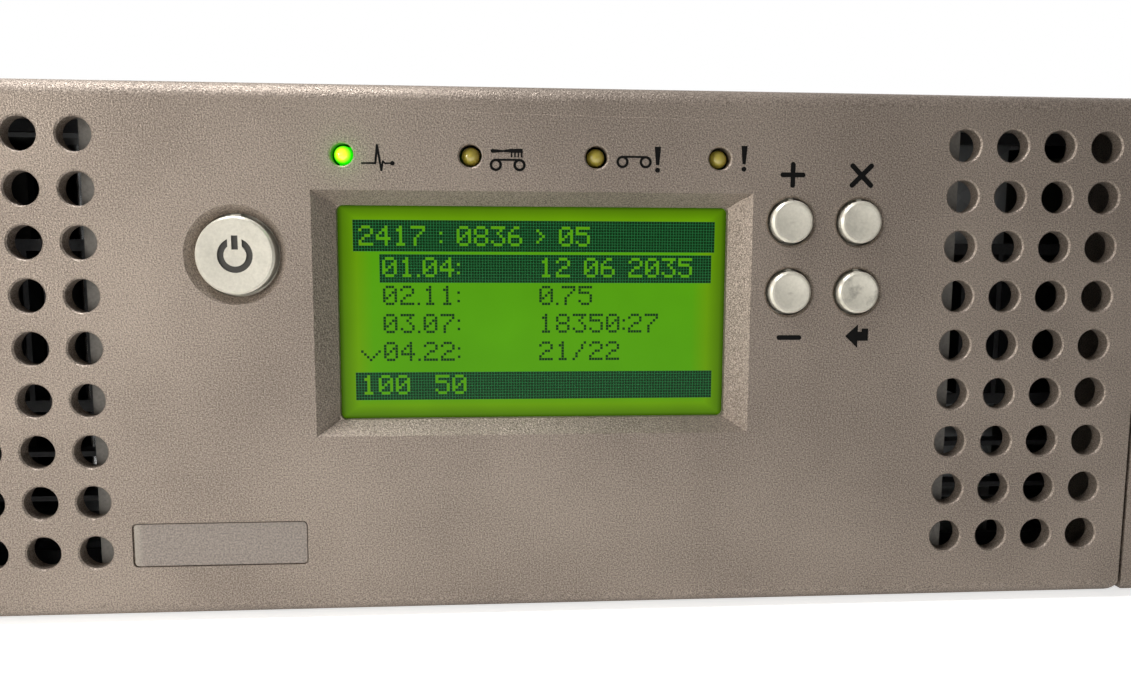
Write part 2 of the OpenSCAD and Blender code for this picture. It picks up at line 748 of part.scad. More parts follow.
module toothed_rack() color("#3c3c3e") placed() {
    pitch = PI * gear_m;
    half = pitch / 2 - 0.05;
    d0 = robot_d + pinion_y - 10;
    n = floor((aisle_end - d0) / pitch);
    root = rack_pitch_x + 1.25 * gear_m;
    tip = rack_pitch_x - gear_m;
    // flank offsets at the pitch line, widened at the root and narrowed at the tip
    add = gear_m * tan(20);
    ded = 1.25 * gear_m * tan(20);
    translate([0, d0, sheet_t]) linear_extrude(height = rack_top - sheet_t)
        polygon(concat([[rack_back_x, -pitch], [root, -pitch]],
            [for (i = [0:n - 1]) each [
                [root, i * pitch - half / 2 - ded], [tip, i * pitch - half / 2 + add],
                [tip, i * pitch + half / 2 - add], [root, i * pitch + half / 2 + ded]]],
            [[root, n * pitch], [rack_back_x, n * pitch]]));
}

module carriage_frame() color("#b9bcbe") placed() translate([0, robot_d, 0]) {
    block_y = [post_y - 12, post_y + 8];
    z0 = ring_z + ring_t;
    difference() {
        union() {
            translate([0, 0, ring_z]) linear_extrude(height = ring_t) difference() {
                translate([-ring_x, -ring_y]) rounded(2 * ring_x, 2 * ring_y, 6);
                circle(r = ring_in, $fn = 96);
            }
            // slide blocks on the guide rod, and the shoe over the rack
            for (y = [-block_y[1], block_y[0]]) {
                block(rod_x - 3.4, -ring_x + 1, y, y + 20, ring_z - 0.4, rod_z + 4);
            }
            block(ring_x - 1, rack_back_x + 0.3, block_y[0], block_y[1], rack_top + 0.4, rack_top + 3.4);
            block(ring_x - 1.8, ring_x, block_y[0], block_y[1], z0 - eps, rack_top + 3.4);
            // corner pillars and the two bridges over the picker
            for (p = [[post_x, -1], [-post_x, 1]])
                block(p[0] - 6, p[0] + 6, p[1] > 0 ? ring_y - 5 : -ring_y, p[1] > 0 ? ring_y : -ring_y + 5,
                    z0 - eps, tower_top + bridge_t);
            for (s = [-1, 1])
                block(-ring_x, ring_x, min(s * bridge_y, s * ring_y), max(s * bridge_y, s * ring_y),
                    tower_top, tower_top + bridge_t);
            // shelf that carries the carriage motor
            block(pinion_x - 9, ring_x + 3, -ring_y, pinion_y + 9, motor_z - 2, motor_z);
        }
        for (y = [-1, 1])
            along_y(rod_x, rod_z, rod_d / 2 + bore_fit, y > 0 ? 40 : -ring_y - 5, y > 0 ? ring_y + 5 : -40);
        for (p = post_places()) translate([p[0], p[1], 0]) cylinder(r = post_d / 2, h = 200);
        translate([pinion_x, pinion_y, motor_z - 3]) cylinder(r = 1.8, h = 5);
        // lightening cuts in the bridges
        for (s = [-1, 1]) translate([-60, s * (bridge_y + ring_y) / 2 - 4, tower_top - 1])
            linear_extrude(height = 5)
            rounded(120, 8, 4);
    }
}

function post_places() = [[-post_x, -post_y], [post_x, post_y], [-post_x, post_y]];

module lift_posts() color("silver") placed() translate([0, robot_d, 0])
    for (i = [0:2]) translate([post_places()[i][0], post_places()[i][1], ring_z])
        cylinder(r = post_d / 2, h = (i == 2 ? tower_top - lift_motor_h : tower_top + bridge_t) - ring_z);

module carriage_motor() color("#404347") placed() translate([pinion_x, robot_d + pinion_y, motor_z])
    difference() {
        union() {
            cylinder(r = motor_r, h = motor_h - 3);
            cylinder(r = motor_r - 1.5, h = motor_h);
        }
        translate([0, 0, -1]) cylinder(r = 1.5 + bore_fit, h = 8);
    }

module lift_motor() color("#404347") placed()
    translate([-post_x, robot_d + post_y, tower_top - lift_motor_h]) cylinder(r = 7.5, h = lift_motor_h);

// Outline of the pinion: twelve teeth with slightly hollowed gaps
module pinion_outline() {
    n = pinion_teeth;
    step = 360 / n;
    root = pinion_r - 1.25 * gear_m;
    tip = pinion_r + gear_m;
    polygon([for (i = [0:n - 1]) each [
        for (p = [[root, -0.37], [pinion_r - 0.4 * gear_m, -0.285], [pinion_r, -0.235],
            [tip - 0.3, -0.14], [tip, -0.10],
            [tip, 0.10], [tip - 0.3, 0.14], [pinion_r, 0.235],
                [pinion_r - 0.4 * gear_m, 0.285], [root, 0.37]])
        [p[0] * cos((i + p[1]) * step), p[0] * sin((i + p[1]) * step)]]]);
}

module rack_pinion() color("#c9a14a") placed() translate([pinion_x, robot_d + pinion_y, pinion_z])
    rotate([0, 0, pinion_phase()]) {
        linear_extrude(height = pinion_h) pinion_outline();
        cylinder(r = 1.5, h = motor_z - pinion_z + 6);
        cylinder(r = 4, h = motor_z - pinion_z - 2.4);
    }

// A gap of the pinion faces the nearest rack tooth at rest
function pinion_phase() =
    let (pitch = PI * gear_m, offset = 10, k = round(offset / pitch), dy = k * pitch - offset)
    180 / pinion_teeth + dy / pinion_r * 180 / PI;

module lift_frame() color("#8f9396") placed() translate([0, robot_d, 0]) {
    difference() {
        union() {
            translate([0, 0, ring_z]) cylinder(r = dish_r, h = dish_t, $fn = 96);
            translate([0, 0, ring_z]) difference() {
                cylinder(r = dish_r, h = slot_z - 0.4 - ring_z, $fn = 96);
                translate([0, 0, -1]) cylinder(r = dish_r - 1.8, h = 10, $fn = 96);
            }
            translate([0, 0, ring_z]) cylinder(r = pivot_r, h = turn_top - 0.1 - ring_z);
            for (p = post_places()) {
                translate([p[0], p[1], arm_z]) cylinder(r = post_d / 2 + 3, h = bush_h);
                translate([0, 0, arm_z]) linear_extrude(height = 2)
                    rotate([0, 0, atan2(p[1], p[0])]) translate([dish_r - 1.5, -6])
                        square([norm(p) - dish_r + 1, 12]);
            }
        }
        for (p = post_places()) translate([p[0], p[1], 0]) cylinder(r = post_d / 2 + bore_fit, h = 40);
        for (a = [0:60:300]) rotate([0, 0, a]) translate([40, 0, 0])
            cylinder(r = 12, h = ring_z + dish_t + 0.01);
    }
}

module turntable() color("#5c5f63") placed() translate([0, robot_d, 0]) {
    wall_l = 50;
    difference() {
        translate([0, 0, turn_z]) cylinder(r = turn_r, h = turn_top - turn_z, $fn = 96);
        translate([0, 0, turn_z - 1]) cylinder(r = pivot_r + bore_fit, h = 10);
        for (s = [-1, 1]) translate([s * 30 - 4, -40, turn_z - 1])
            linear_extrude(height = 10) rounded(8, 80, 4);
    }
    // side walls with inturned lips, and the gripper's guide strips
    for (s = [-1, 1]) {
        block(s * picker_w, s * (picker_w + picker_t), -wall_l, wall_l, turn_top - eps, picker_top);
        block(s * (picker_w - 5), s * (picker_w + picker_t), -wall_l, wall_l, picker_top - 1.4, picker_top);
        block(s * 26, s * 28, gripper_y - 8, 40, turn_top - eps, turn_top + 0.5);
    }
}

module barcode_reader() color("black") placed() translate([0, robot_d, 0])
    difference() {
        block(picker_w + picker_t, picker_w + picker_t + 10, -26, -4, turn_top + 3, turn_top + 17);
        block(picker_w + picker_t + 3, picker_w + picker_t + 8, -5.5, 0, turn_top + 6, turn_top + 14);
    }

module gripper() color("#a9adb0") placed() translate([0, robot_d, 0]) {
    z0 = turn_top + fit;
    difference() {
        block(-25.5, 25.5, gripper_y - 8, gripper_y, z0, z0 + 17);
        block(-14, 14, gripper_y - 6, gripper_y + 1, z0 + 4, z0 + 20);
    }
    // two hooked fingers
    for (s = [-1, 1]) translate([0, 0, z0 + 6]) linear_extrude(height = 7)
        polygon([[s * 17, gripper_y - eps], [s * 24, gripper_y - eps], [s * 24, gripper_y + 10],
            [s * 20, gripper_y + 12], [s * 18, gripper_y + 10], [s * 21, gripper_y + 8],
                [s * 21, gripper_y + 3]]);
}

// ---------- magazine locks ----------

module lock_coil(s) color("#b06a2c") placed() {
    x = lock_x;
    d = lock_d;
    z = lock_z;
    difference() {
        union() {
            block(s * x, s * (x + coil_l), d - 8, d + 8, z - 8, z + 8);
            block(s * x, s * (x + coil_l), d - 8, d + 8, sheet_t, z - 8 + eps);
        }
        translate([s * (x + coil_l / 2), d, z]) rotate([0, 90, 0])
            cylinder(r = lock_r + bore_fit, h = coil_l + 4, center = true);
        block(s * (x + 3), s * (x + coil_l - 3), d - 9, d + 9, sheet_t + 2, z - 10);
    }
}

module lock_plunger(s) color("silver") placed() {
    x = catch_x + 2.6;
    stem = lock_x + coil_l + lock_travel + 0.4 - x;
    translate([s * x, lock_d, lock_z]) rotate([0, s * 90, 0]) {
        cylinder(r = lock_r, h = stem + 1);
        translate([0, 0, stem]) cylinder(r = 2 * lock_r, h = 1.5);
    }
}

module lock_left_coil() lock_coil(-1);
module lock_right_coil() lock_coil(1);
module lock_left_plunger() lock_plunger(-1);
module lock_right_plunger() lock_plunger(1);

// ---------- rear ----------

module drive_bay_guides() color("darkgray") placed()
    for (s = [-1, 1]) difference() {
        union() {
            block(s * (bay_x - sheet_t), s * bay_x, drive_d + 2, rear_d - sheet_t,
                sheet_t, unit_h - sheet_t - 0.5);
            block(s * (sled_x - 4), s * bay_x, drive_d + 2, rear_d - sheet_t, sheet_t, sheet_t + ledge_t);
            block(s * (sled_x + sled_t + fit), s * bay_x, drive_d + 2, rear_d - sheet_t,
                bay_split - 2, bay_split - 1.2);
            block(s * bay_x, s * (bay_x + 10), drive_d + 2, rear_d - sheet_t, sheet_t, 2 * sheet_t);
        }
        for (i = [0:3]) translate([s * bay_x, drive_d + 28 + i * 46, mid_z]) rotate([0, 90, 0])
            cylinder(r = 8, h = 10, center = true);
    }

module sled_tray() color("silver") placed() {
    top = drive_z + drive_h;
    difference() {
        union() {
            block(-sled_x - sled_t, sled_x + sled_t, drive_d, rear_d, sled_z, sled_z + sled_t);
            for (s = [-1, 1]) block(s * sled_x, s * (sled_x + sled_t), drive_d, rear_d, sled_z, top - 8);
            block(-plate_x, plate_x, rear_d, rear_d + sheet_t, sled_z, bay_split - 0.6);
            // shroud round the fan
            along_y(sled_fan_x, sled_fan_z, sled_fan_r + 1.8, drive_d + drive_l + 0.5, rear_d + eps);
        }
        along_y(sled_fan_x, sled_fan_z, sled_fan_r + 0.8, drive_d + drive_l, rear_d);
        facing(rear_d - 1, 4) for (a = [0:45:315]) translate([sled_fan_x, sled_fan_z]) rotate(a)
            translate([4.2, -1.7]) rounded(7.6, 3.4, 1.6);
        facing(rear_d - 1, 4) translate([sas_x - 13, drive_z + 24]) rounded(26, 10, 1);
        for (s = [-1, 1]) along_y(s * bay_screw_x, bay_screw_heights()[0], 2.1, rear_d - 1, rear_d + 3);
        block(-40, 40, drive_d + 20, rear_d - 40, 0, sled_z + 5);
    }
}

module tape_drive() color("#55585b") placed() {
    mouth_w = cart_w + 2;
    mouth_h = cart_h + 3;
    deep = 112;
    difference() {
        block(-drive_w / 2, drive_w / 2, drive_d, drive_d + drive_l, drive_z, drive_z + drive_h);
        block(-mouth_w / 2, mouth_w / 2, drive_d - 1, drive_d + deep, slot_mouth_z, slot_mouth_z + mouth_h);
        translate([-drive_w / 2 + 10, drive_d + 20, drive_z + drive_h - 0.6])
            cube([drive_w - 20, drive_l - 50, 2]);
    }
}

module sled_handle() color("#3a5f8a") placed() {
    span = 70;
    bar = 7;
    out = handle_out - sheet_t;
    zc = sled_z + 12;
    translate([0, rear_d + sheet_t, zc - bar / 2]) linear_extrude(height = bar) difference() {
        union() {
            translate([-span / 2, 0]) square([span, out - 10]);
            translate([-span / 2 + 10, 0]) square([span - 20, out]);
            for (s = [-1, 1]) translate([s * (span / 2 - 10), out - 10]) circle(r = 10);
        }
        translate([-span / 2 + 6, -1]) square([span - 12, out - 9]);
        translate([-span / 2 + 12, 0]) square([span - 24, out - 6]);
        for (s = [-1, 1]) translate([s * (span / 2 - 12), out - 12]) circle(r = 6);
    }
}

module sled_thumbscrews() color("silver") placed()
    for (s = [-1, 1]) {
        along_y(s * bay_screw_x, bay_screw_heights()[0], 2, rear_d - 6, rear_d + sheet_t + 1);
        along_y(s * bay_screw_x, bay_screw_heights()[0], 4.4, rear_d + sheet_t, rear_d + sheet_t + 9);
    }

module host_port() color("silver") placed()
    difference() {
        facing(drive_d + drive_l + 0.3, 12) translate([sas_x - 12.6, drive_z + 24.4]) rounded(25.2, 9.2, 1);
        facing(drive_d + drive_l + 2.3, 12) translate([sas_x - 11.4, drive_z + 25.6])
            rounded(22.8, 6.8, 0.6);
    }

// A fan rotor: hub and pitched blades in a shared outline
module rotor(x, z, r, blades, d0) translate([x, d0, z]) rotate([-90, 0, 0]) {
    cylinder(r = r * 0.42, h = 9);
    for (i = [0:blades - 1]) rotate([0, 0, i * 360 / blades])
        translate([0, 0, 4.5]) rotate([32, 0, 0]) translate([r * 0.36, -0.5, -4]) cube([r * 0.6, 1, 8]);
}

module sled_fan() color("#2f3133") placed() rotor(sled_fan_x, sled_fan_z, sled_fan_r, 7, rear_d - 9.4);

module bay_cover() color("silver") placed() {
    z0 = bay_split;
    z1 = unit_h - sheet_t - 1.4;
    return_x = bay_x - 4;
    block(-plate_x, plate_x, rear_d, rear_d + sheet_t, z0, z1);
    for (z = [z0 + 1, z1 - 1 - sheet_t])
        block(-return_x, return_x, rear_d - 12, rear_d + eps, z, z + sheet_t);
    for (s = [-1, 1]) {
        along_y(s * bay_screw_x, bay_screw_heights()[1], 4.4, rear_d + sheet_t - eps, rear_d + sheet_t + 8);
        along_y(s * bay_screw_x, bay_screw_heights()[1], 2, rear_d - 5, rear_d + eps);
    }
}

module power_supply() color("silver") placed() {
    d0 = rear_d - psu_l;
    x0 = psu_x + 0.5;
    x1 = psu_x + psu_w - 0.5;
    difference() {
        block(x0, x1, d0, rear_d + sheet_t, psu_z + 0.3, psu_z + psu_h - 0.5);
        along_y(fan_x, fan_z, fan_r + 0.8, rear_d - 14, rear_d - sheet_t);
        // finger guard: rings of slots in the rear face
        for (k = [0:2]) difference() {
            along_y(fan_x, fan_z, 6 + k * 4.2, rear_d - 3, rear_d + 4);
            along_y(fan_x, fan_z, 3.2 + k * 4.2, rear_d - 4, rear_d + 5);
            for (a = [0:45:135]) translate([fan_x, rear_d - 5, fan_z]) rotate([0, a, 0])
                translate([-20, 0, -0.7]) cube([40, 12, 1.4]);
        }
        facing(rear_d - 20, 24) translate([inlet_x - inlet_w / 2 - 1.6, fan_z - inlet_h / 2 - 1.6])
            rounded(inlet_w + 3.2, inlet_h + 3.2, 1);
        // side vents
        for (i = [0:9]) block(psu_x - 1, psu_x + 2, d0 + 20 + i * 9, d0 + 24 + i * 9, psu_z + 8, psu_z + 32);
    }
}

module power_inlet() color("#1e1e1f") placed() {
    deep = 16;
    difference() {
        facing(rear_d - 19, 20) translate([inlet_x - inlet_w / 2 - 1.5, fan_z - inlet_h / 2 - 1.5])
            rounded(inlet_w + 3, inlet_h + 3, 1);
        facing(rear_d + 1 - deep, deep + 1) translate([inlet_x - inlet_w / 2, fan_z - inlet_h / 2])
            difference() {
            square([inlet_w, inlet_h]);
            for (x = [0, inlet_w]) translate([x, inlet_h]) rotate(45) square([7, 7], center = true);
        }
    }
    for (p = [[-7, -2.4], [7, -2.4], [0, 2.8]])
        block(inlet_x + p[0] - 1, inlet_x + p[0] + 1, rear_d - 15.5, rear_d - 4,
            fan_z + p[1] - 2, fan_z + p[1] + 2);
}

module supply_fan() color("#2f3133") placed() rotor(fan_x, fan_z, fan_r, 7, rear_d - 10.5);

module controller_bracket() color("silver") placed() {
    x1 = card_x - 0.5;
    x0 = card_x - card_w + 0.5;
    margin = 5;
    difference() {
        block(x0 - margin, x1 + margin, rear_d, rear_d + sheet_t, card_z - 1, card_z + card_h + 3);
        facing(rear_d - 1, 4) translate([port_x - 0.2, port_z - 0.2])
            rounded(port_w + 0.4, port_h + 0.4, 0.6);
        facing(rear_d - 1, 4) translate([service_x - 0.2, port_z - 0.2]) rounded(13.6, 6, 0.6);
        facing(rear_d - 1, 4) vent_slots(x0 + 14, x1 - 12, card_z + 26, card_z + 35);
    }
    block(x0 + 2, x1 - 2, rear_d - 10, rear_d + eps, card_z + 4, card_z + 4 + sheet_t);
    for (x = [x0 - margin + 4, x1 + margin - 4])
        along_y(x, card_z + card_h - 10, 3.6, rear_d + sheet_t - eps, rear_d + sheet_t + 6);
}

module controller_board() color("darkgreen") placed() {
    x1 = card_x - 3;
    x0 = card_x - card_w + 3;
    z0 = board_low;
    block(x0, x1, rear_d - 150, rear_d - 1.4, z0, z0 + 1.6);
    block(x0 + 20, x0 + 52, rear_d - 110, rear_d - 78, z0 + 1.6, z0 + 4);
    for (i = [0:3]) block(x0 + 60 + i * 9, x0 + 66 + i * 9, rear_d - 100, rear_d - 80, z0 + 1.6, z0 + 3.4);
    for (i = [0:2]) translate([x0 + 30 + i * 14, rear_d - 60, z0 + 1.6]) cylinder(r = 4, h = 10);
    for (x = [x0 + 6, x1 - 6], d = [rear_d - 140, rear_d - 30])
        translate([x, d, sheet_t]) cylinder(r = 2.4, h = z0 - sheet_t);
}

module network_port() color("silver") placed() {
    x0 = port_x;
    z0 = port_z;
    difference() {
        block(x0, x0 + port_w, rear_d - 14, rear_d + sheet_t + 0.4, z0, z0 + port_h);
        block(x0 + 2, x0 + 14, rear_d - 10, rear_d + 3, z0 + 2.4, z0 + 10.2);
        block(x0 + 5, x0 + 11, rear_d - 10, rear_d + 3, z0 + 1, z0 + 3);
    }
}

module service_port() color("silver") placed() {
    x0 = service_x;
    z0 = port_z;
    difference() {
        block(x0, x0 + 13.2, rear_d - 14, rear_d + sheet_t + 0.4, z0, z0 + 5.6);
        block(x0 + 0.6, x0 + 12.6, rear_d - 9, rear_d + 3, z0 + 0.5, z0 + 5.1);
    }
    block(x0 + 1.6, x0 + 11.6, rear_d - 9.5, rear_d + 0.6, z0 + 3.2, z0 + 4.8);
}

base_tray();
top_cover();
rear_panel();
front_brace();
front_panel();
tag_plate();
operator_housing();
operator_board();
display_module();
display_glass();
status_lenses();
power_button();
key_up();
key_cancel();
key_down();
key_enter();
magazine_runners();
guide_rod();
rod_clamps();
toothed_rack();
magazine_left_bezel();
magazine_left_wall();
magazine_left_shelves();
magazine_left_dividers();
mail_slot_bezel();
mail_slot_tray();
magazine_right_bezel();
magazine_right_wall();
magazine_right_shelves();
magazine_right_dividers();
tape_cartridge();
carriage_frame();
lift_posts();
carriage_motor();
lift_motor();
rack_pinion();
lift_frame();
turntable();
barcode_reader();
gripper();
lock_left_coil();
lock_right_coil();
lock_left_plunger();
lock_right_plunger();
drive_bay_guides();
sled_tray();
tape_drive();
sled_handle();
sled_thumbscrews();
host_port();
sled_fan();
bay_cover();
power_supply();
power_inlet();
supply_fan();
controller_bracket();
controller_board();
network_port();
service_port();
cover_screws();
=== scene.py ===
import math

import bpy
import bmesh
from mathutils import Matrix, Vector


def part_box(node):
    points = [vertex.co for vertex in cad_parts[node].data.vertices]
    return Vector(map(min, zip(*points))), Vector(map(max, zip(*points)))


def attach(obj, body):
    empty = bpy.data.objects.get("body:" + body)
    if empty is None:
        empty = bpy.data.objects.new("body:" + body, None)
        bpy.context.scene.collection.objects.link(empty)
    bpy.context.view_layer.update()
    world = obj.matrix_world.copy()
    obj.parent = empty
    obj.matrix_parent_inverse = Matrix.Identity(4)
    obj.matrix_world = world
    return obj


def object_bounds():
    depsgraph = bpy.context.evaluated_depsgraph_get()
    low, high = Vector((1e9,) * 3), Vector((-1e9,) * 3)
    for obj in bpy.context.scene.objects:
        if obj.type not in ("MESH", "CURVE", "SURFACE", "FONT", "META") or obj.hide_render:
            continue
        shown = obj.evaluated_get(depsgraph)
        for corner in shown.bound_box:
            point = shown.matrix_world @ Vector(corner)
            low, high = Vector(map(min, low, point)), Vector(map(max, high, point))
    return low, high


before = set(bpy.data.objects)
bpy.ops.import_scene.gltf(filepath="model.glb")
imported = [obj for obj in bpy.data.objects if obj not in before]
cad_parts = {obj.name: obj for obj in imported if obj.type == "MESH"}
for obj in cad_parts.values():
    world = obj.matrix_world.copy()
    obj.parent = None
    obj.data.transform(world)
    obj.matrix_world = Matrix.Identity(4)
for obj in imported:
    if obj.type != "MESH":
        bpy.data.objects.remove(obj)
cad_box = [[float(n) for n in corner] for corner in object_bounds()]
mm = 0.001

# ---------------------------------------------------------------------------
# Studio: a flat white sweep under the library, and the camera, close to
# the operator panel and a little above its middle. The sweep is matt card.
# ---------------------------------------------------------------------------


def shade(code):
    """A linear colour from an sRGB hex value."""
    parts = [int(code[i:i + 2], 16) / 255 for i in (1, 3, 5)]
    return [c / 12.92 if c <= 0.04045 else ((c + 0.055) / 1.055) ** 2.4 for c in parts] + [1.0]


def put(tree, kind, links=None, **settings):
    """Adds one node: settings are its properties, links its sockets' values or sources."""
    node = tree.nodes.new(kind)
    for name, value in settings.items():
        setattr(node, name, value)
    for name, value in (links or {}).items():
        if isinstance(value, bpy.types.NodeSocket):
            tree.links.new(value, node.inputs[name])
        else:
            node.inputs[name].default_value = value
    return node


def blend(tree, factor, low, high):
    """The colour between two; each is an sRGB hex value or a socket."""
    ends = {key: shade(end) if isinstance(end, str) else end
            for key, end in (("A", low), ("B", high))}
    return put(tree, "ShaderNodeMix", {"Factor": factor, **ends},
               data_type="RGBA").outputs["Result"]


def sight(tree):
    """Two masks: camera rays, and camera, glossy and transmission rays together."""
    path = put(tree, "ShaderNodeLightPath").outputs
    mirror = put(tree, "ShaderNodeMath", {0: path["Is Glossy Ray"], 1: path["Is Transmission Ray"]},
                 operation="MAXIMUM")
    seen = put(tree, "ShaderNodeMath", {0: path["Is Camera Ray"], 1: mirror.outputs[0]},
               operation="MAXIMUM")
    return path["Is Camera Ray"], seen.outputs[0]


mirrored = 0.3  # how bright the card and the room look in metal and glass
near, far = 0.8, 2.6  # metres from the library's middle
near_glow, far_glow = 0.38, 0.66  # more glow far out, where the lamps don't reach
card = bpy.data.materials.new("matt_white_card")
card.use_nodes = True
tree = card.node_tree
tree.nodes.clear()
camera_ray, seen = sight(tree)
grain = put(tree, "ShaderNodeTexNoise", {"Scale": 40.0, "Detail": 3.0})
tone = blend(tree, grain.outputs["Fac"], "#f4f4f2", "#fafaf9")
lit = put(tree, "ShaderNodeBsdfDiffuse", {"Color": tone})
middle = put(tree, "ShaderNodeTexCoord").outputs["Object"]
reach = put(tree, "ShaderNodeVectorMath", {0: middle}, operation="LENGTH")
reach = put(tree, "ShaderNodeMapRange", {"Value": reach.outputs["Value"], "From Min": near,
                                         "From Max": far, "To Min": near_glow,
                                         "To Max": far_glow}, interpolation_type="SMOOTHSTEP")
level = put(tree, "ShaderNodeMath", {0: camera_ray, 1: reach.outputs["Result"], 2: mirrored},
            operation="MULTIPLY_ADD")
glow = put(tree, "ShaderNodeEmission", {"Color": shade("#ffffff"), "Strength": level.outputs[0]})
both = put(tree, "ShaderNodeAddShader", {0: lit.outputs[0], 1: glow.outputs[0]})
pick = put(tree, "ShaderNodeMixShader", {0: seen, 1: lit.outputs[0], 2: both.outputs[0]})
put(tree, "ShaderNodeOutputMaterial", {"Surface": pick.outputs[0]})

sweep_mesh = bpy.data.meshes.new("sweep")
floor_z = cad_box[0][2] - 0.2 * mm
edge = 6.0
corners = [(-edge, -edge, floor_z), (edge, -edge, floor_z), (edge, edge, floor_z),
           (-edge, edge, floor_z)]
sweep_mesh.from_pydata(corners, [], [(0, 1, 2, 3)])
sweep_mesh.materials.append(card)
sweep = bpy.data.objects.new("sweep", sweep_mesh)
bpy.context.scene.collection.objects.link(sweep)

world = bpy.data.worlds.new("studio")
bpy.context.scene.world = world
world.use_nodes = True
tree = world.node_tree
tree.nodes.clear()
camera_ray, seen = sight(tree)
level = put(tree, "ShaderNodeMath", {0: camera_ray, 1: 1 - mirrored, 2: mirrored},
            operation="MULTIPLY_ADD")
plain = put(tree, "ShaderNodeBackground", {"Color": shade("#ffffff"), "Strength": 0.07})
white = put(tree, "ShaderNodeBackground", {"Color": shade("#ffffff"), "Strength": level.outputs[0]})
pick = put(tree, "ShaderNodeMixShader", {0: seen, 1: plain.outputs[0], 2: white.outputs[0]})
put(tree, "ShaderNodeOutputWorld", {"Surface": pick.outputs[0]})


def lamp(name, at, aim, size, power, colour="#ffffff"):
    """A square soft lamp that the camera doesn't see; metres and watts."""
    data = bpy.data.lights.new(name, "AREA")
    data.size = size
    data.energy = power
    data.color = shade(colour)[:3]
    obj = bpy.data.objects.new(name, data)
    obj.location = at
    obj.rotation_euler = (Vector(aim) - Vector(at)).to_track_quat("-Z", "Y").to_euler()
    obj.visible_camera = False
    bpy.context.scene.collection.objects.link(obj)


lamp("window_left", (-0.34, -0.60, 0.12), (-0.10, -0.384, 0.04), 0.14, 0.75, "#fffaf2")
lamp("soft_front", (-0.5, -1.5, 0.35), (0, -0.384, 0.04), 0.6, 0.4)
lamp("near_top", (-0.16, -0.44, 0.42), (-0.06, -0.40, 0.0), 0.16, 1.7)
lamp("card_bounce", (0.0, -0.46, 0.004), (0.0, -0.384, 0.055), 0.12, 0.015)
lamp("over_top", (-0.3, 0.35, 1.6), (0, 0.15, 0), 1.6, 6)
lamp("rear_left", (-1.3, 1.2, 0.8), (0, 0.3, 0.03), 0.9, 9)
lamp("rear_right", (1.3, 1.1, 0.8), (0, 0.3, 0.03), 0.9, 9)

camera_data = bpy.data.cameras.new("camera")
camera_data.lens = 28.53
camera_data.sensor_width = 36
camera_data.clip_start = 0.01
camera = bpy.data.objects.new("camera", camera_data)
right = (0.99720, -0.07464, 0.00439)
up = (0.00406, 0.11281, 0.99361)
forward = (0.07466, 0.99081, -0.11280)
eye = (-6.06 * mm, -528.8 * mm, 60.84 * mm)
rows = [(right[i], up[i], -forward[i], eye[i]) for i in range(3)]
camera.matrix_world = Matrix(rows + [(0, 0, 0, 1)])
bpy.context.scene.collection.objects.link(camera)
bpy.context.scene.camera = camera
bpy.context.scene.view_settings.view_transform = "Standard"

# ---------------------------------------------------------------------------
# Bezels: ABS mouldings sprayed with a taupe mica paint. The paint is matt with
# a fine sparkle, over the mould's spark-eroded grain, and a little scuffed.
# ---------------------------------------------------------------------------


def finish(name, **sockets):
    """Starts a material: returns it with its tree, shader and object coordinates."""
    made = bpy.data.materials.new(name)
    made.use_nodes = True
    inner = made.node_tree
    shader = inner.nodes["Principled BSDF"]
    for socket, value in sockets.items():
        shader.inputs[socket.replace("_", " ")].default_value = value
    place = put(inner, "ShaderNodeTexCoord").outputs["Object"]
    return made, inner, shader, place


def emboss(tree, shader, height, strength, depth):
    """Relief on a surface, from a pattern's height; depth is in metres."""
    bump = put(tree, "ShaderNodeBump", {"Height": height, "Strength": strength, "Distance": depth})
    tree.links.new(bump.outputs[0], shader.inputs["Normal"])


def dress(material, *nodes):
    """Gives a finish to nodes of the frame."""
    for node in nodes:
        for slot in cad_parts[node].material_slots:
            slot.material = material


def mica_paint(name, low, high, rough):
    """Paint with mica flecks; the flecks' tone varies a little in broad clouds."""
    made, tree, shader, place = finish(name, Metallic=0.5, Roughness=rough)
    fleck_mm, grain_mm, cloud_mm = 0.24, 0.3, 26
    fleck = put(tree, "ShaderNodeTexNoise", {"Vector": place, "Scale": 1 / (fleck_mm * mm),
                                             "Detail": 3.0, "Roughness": 0.7})
    cloud = put(tree, "ShaderNodeTexNoise", {"Vector": place, "Scale": 1 / (cloud_mm * mm),
                                             "Detail": 4.0})
    both = put(tree, "ShaderNodeMath", {0: cloud.outputs["Fac"], 1: 0.2, 2: fleck.outputs["Fac"]},
               operation="MULTIPLY_ADD")
    spread = put(tree, "ShaderNodeMapRange",
                 {"Value": both.outputs[0], "From Min": 0.48, "From Max": 0.72})
    tone = blend(tree, spread.outputs[0], low, high)
    tree.links.new(tone, shader.inputs["Base Color"])
    gloss = put(tree, "ShaderNodeMapRange", {"Value": fleck.outputs["Fac"], "From Min": 0.3,
                                             "From Max": 0.7, "To Min": rough + 0.1,
                                             "To Max": rough - 0.08})
    tree.links.new(gloss.outputs[0], shader.inputs["Roughness"])
    grain = put(tree, "ShaderNodeTexNoise", {"Vector": place, "Scale": 1 / (grain_mm * mm),
                                             "Detail": 2.0})
    emboss(tree, shader, grain.outputs["Fac"], 0.9, 0.12 * mm)
    return made


bezel_paint = mica_paint("taupe_mica_paint", "#6d6259", "#a6998d", 0.5)
dress(bezel_paint, "front_panel", "magazine_left_bezel", "magazine_right_bezel", "mail_slot_bezel")

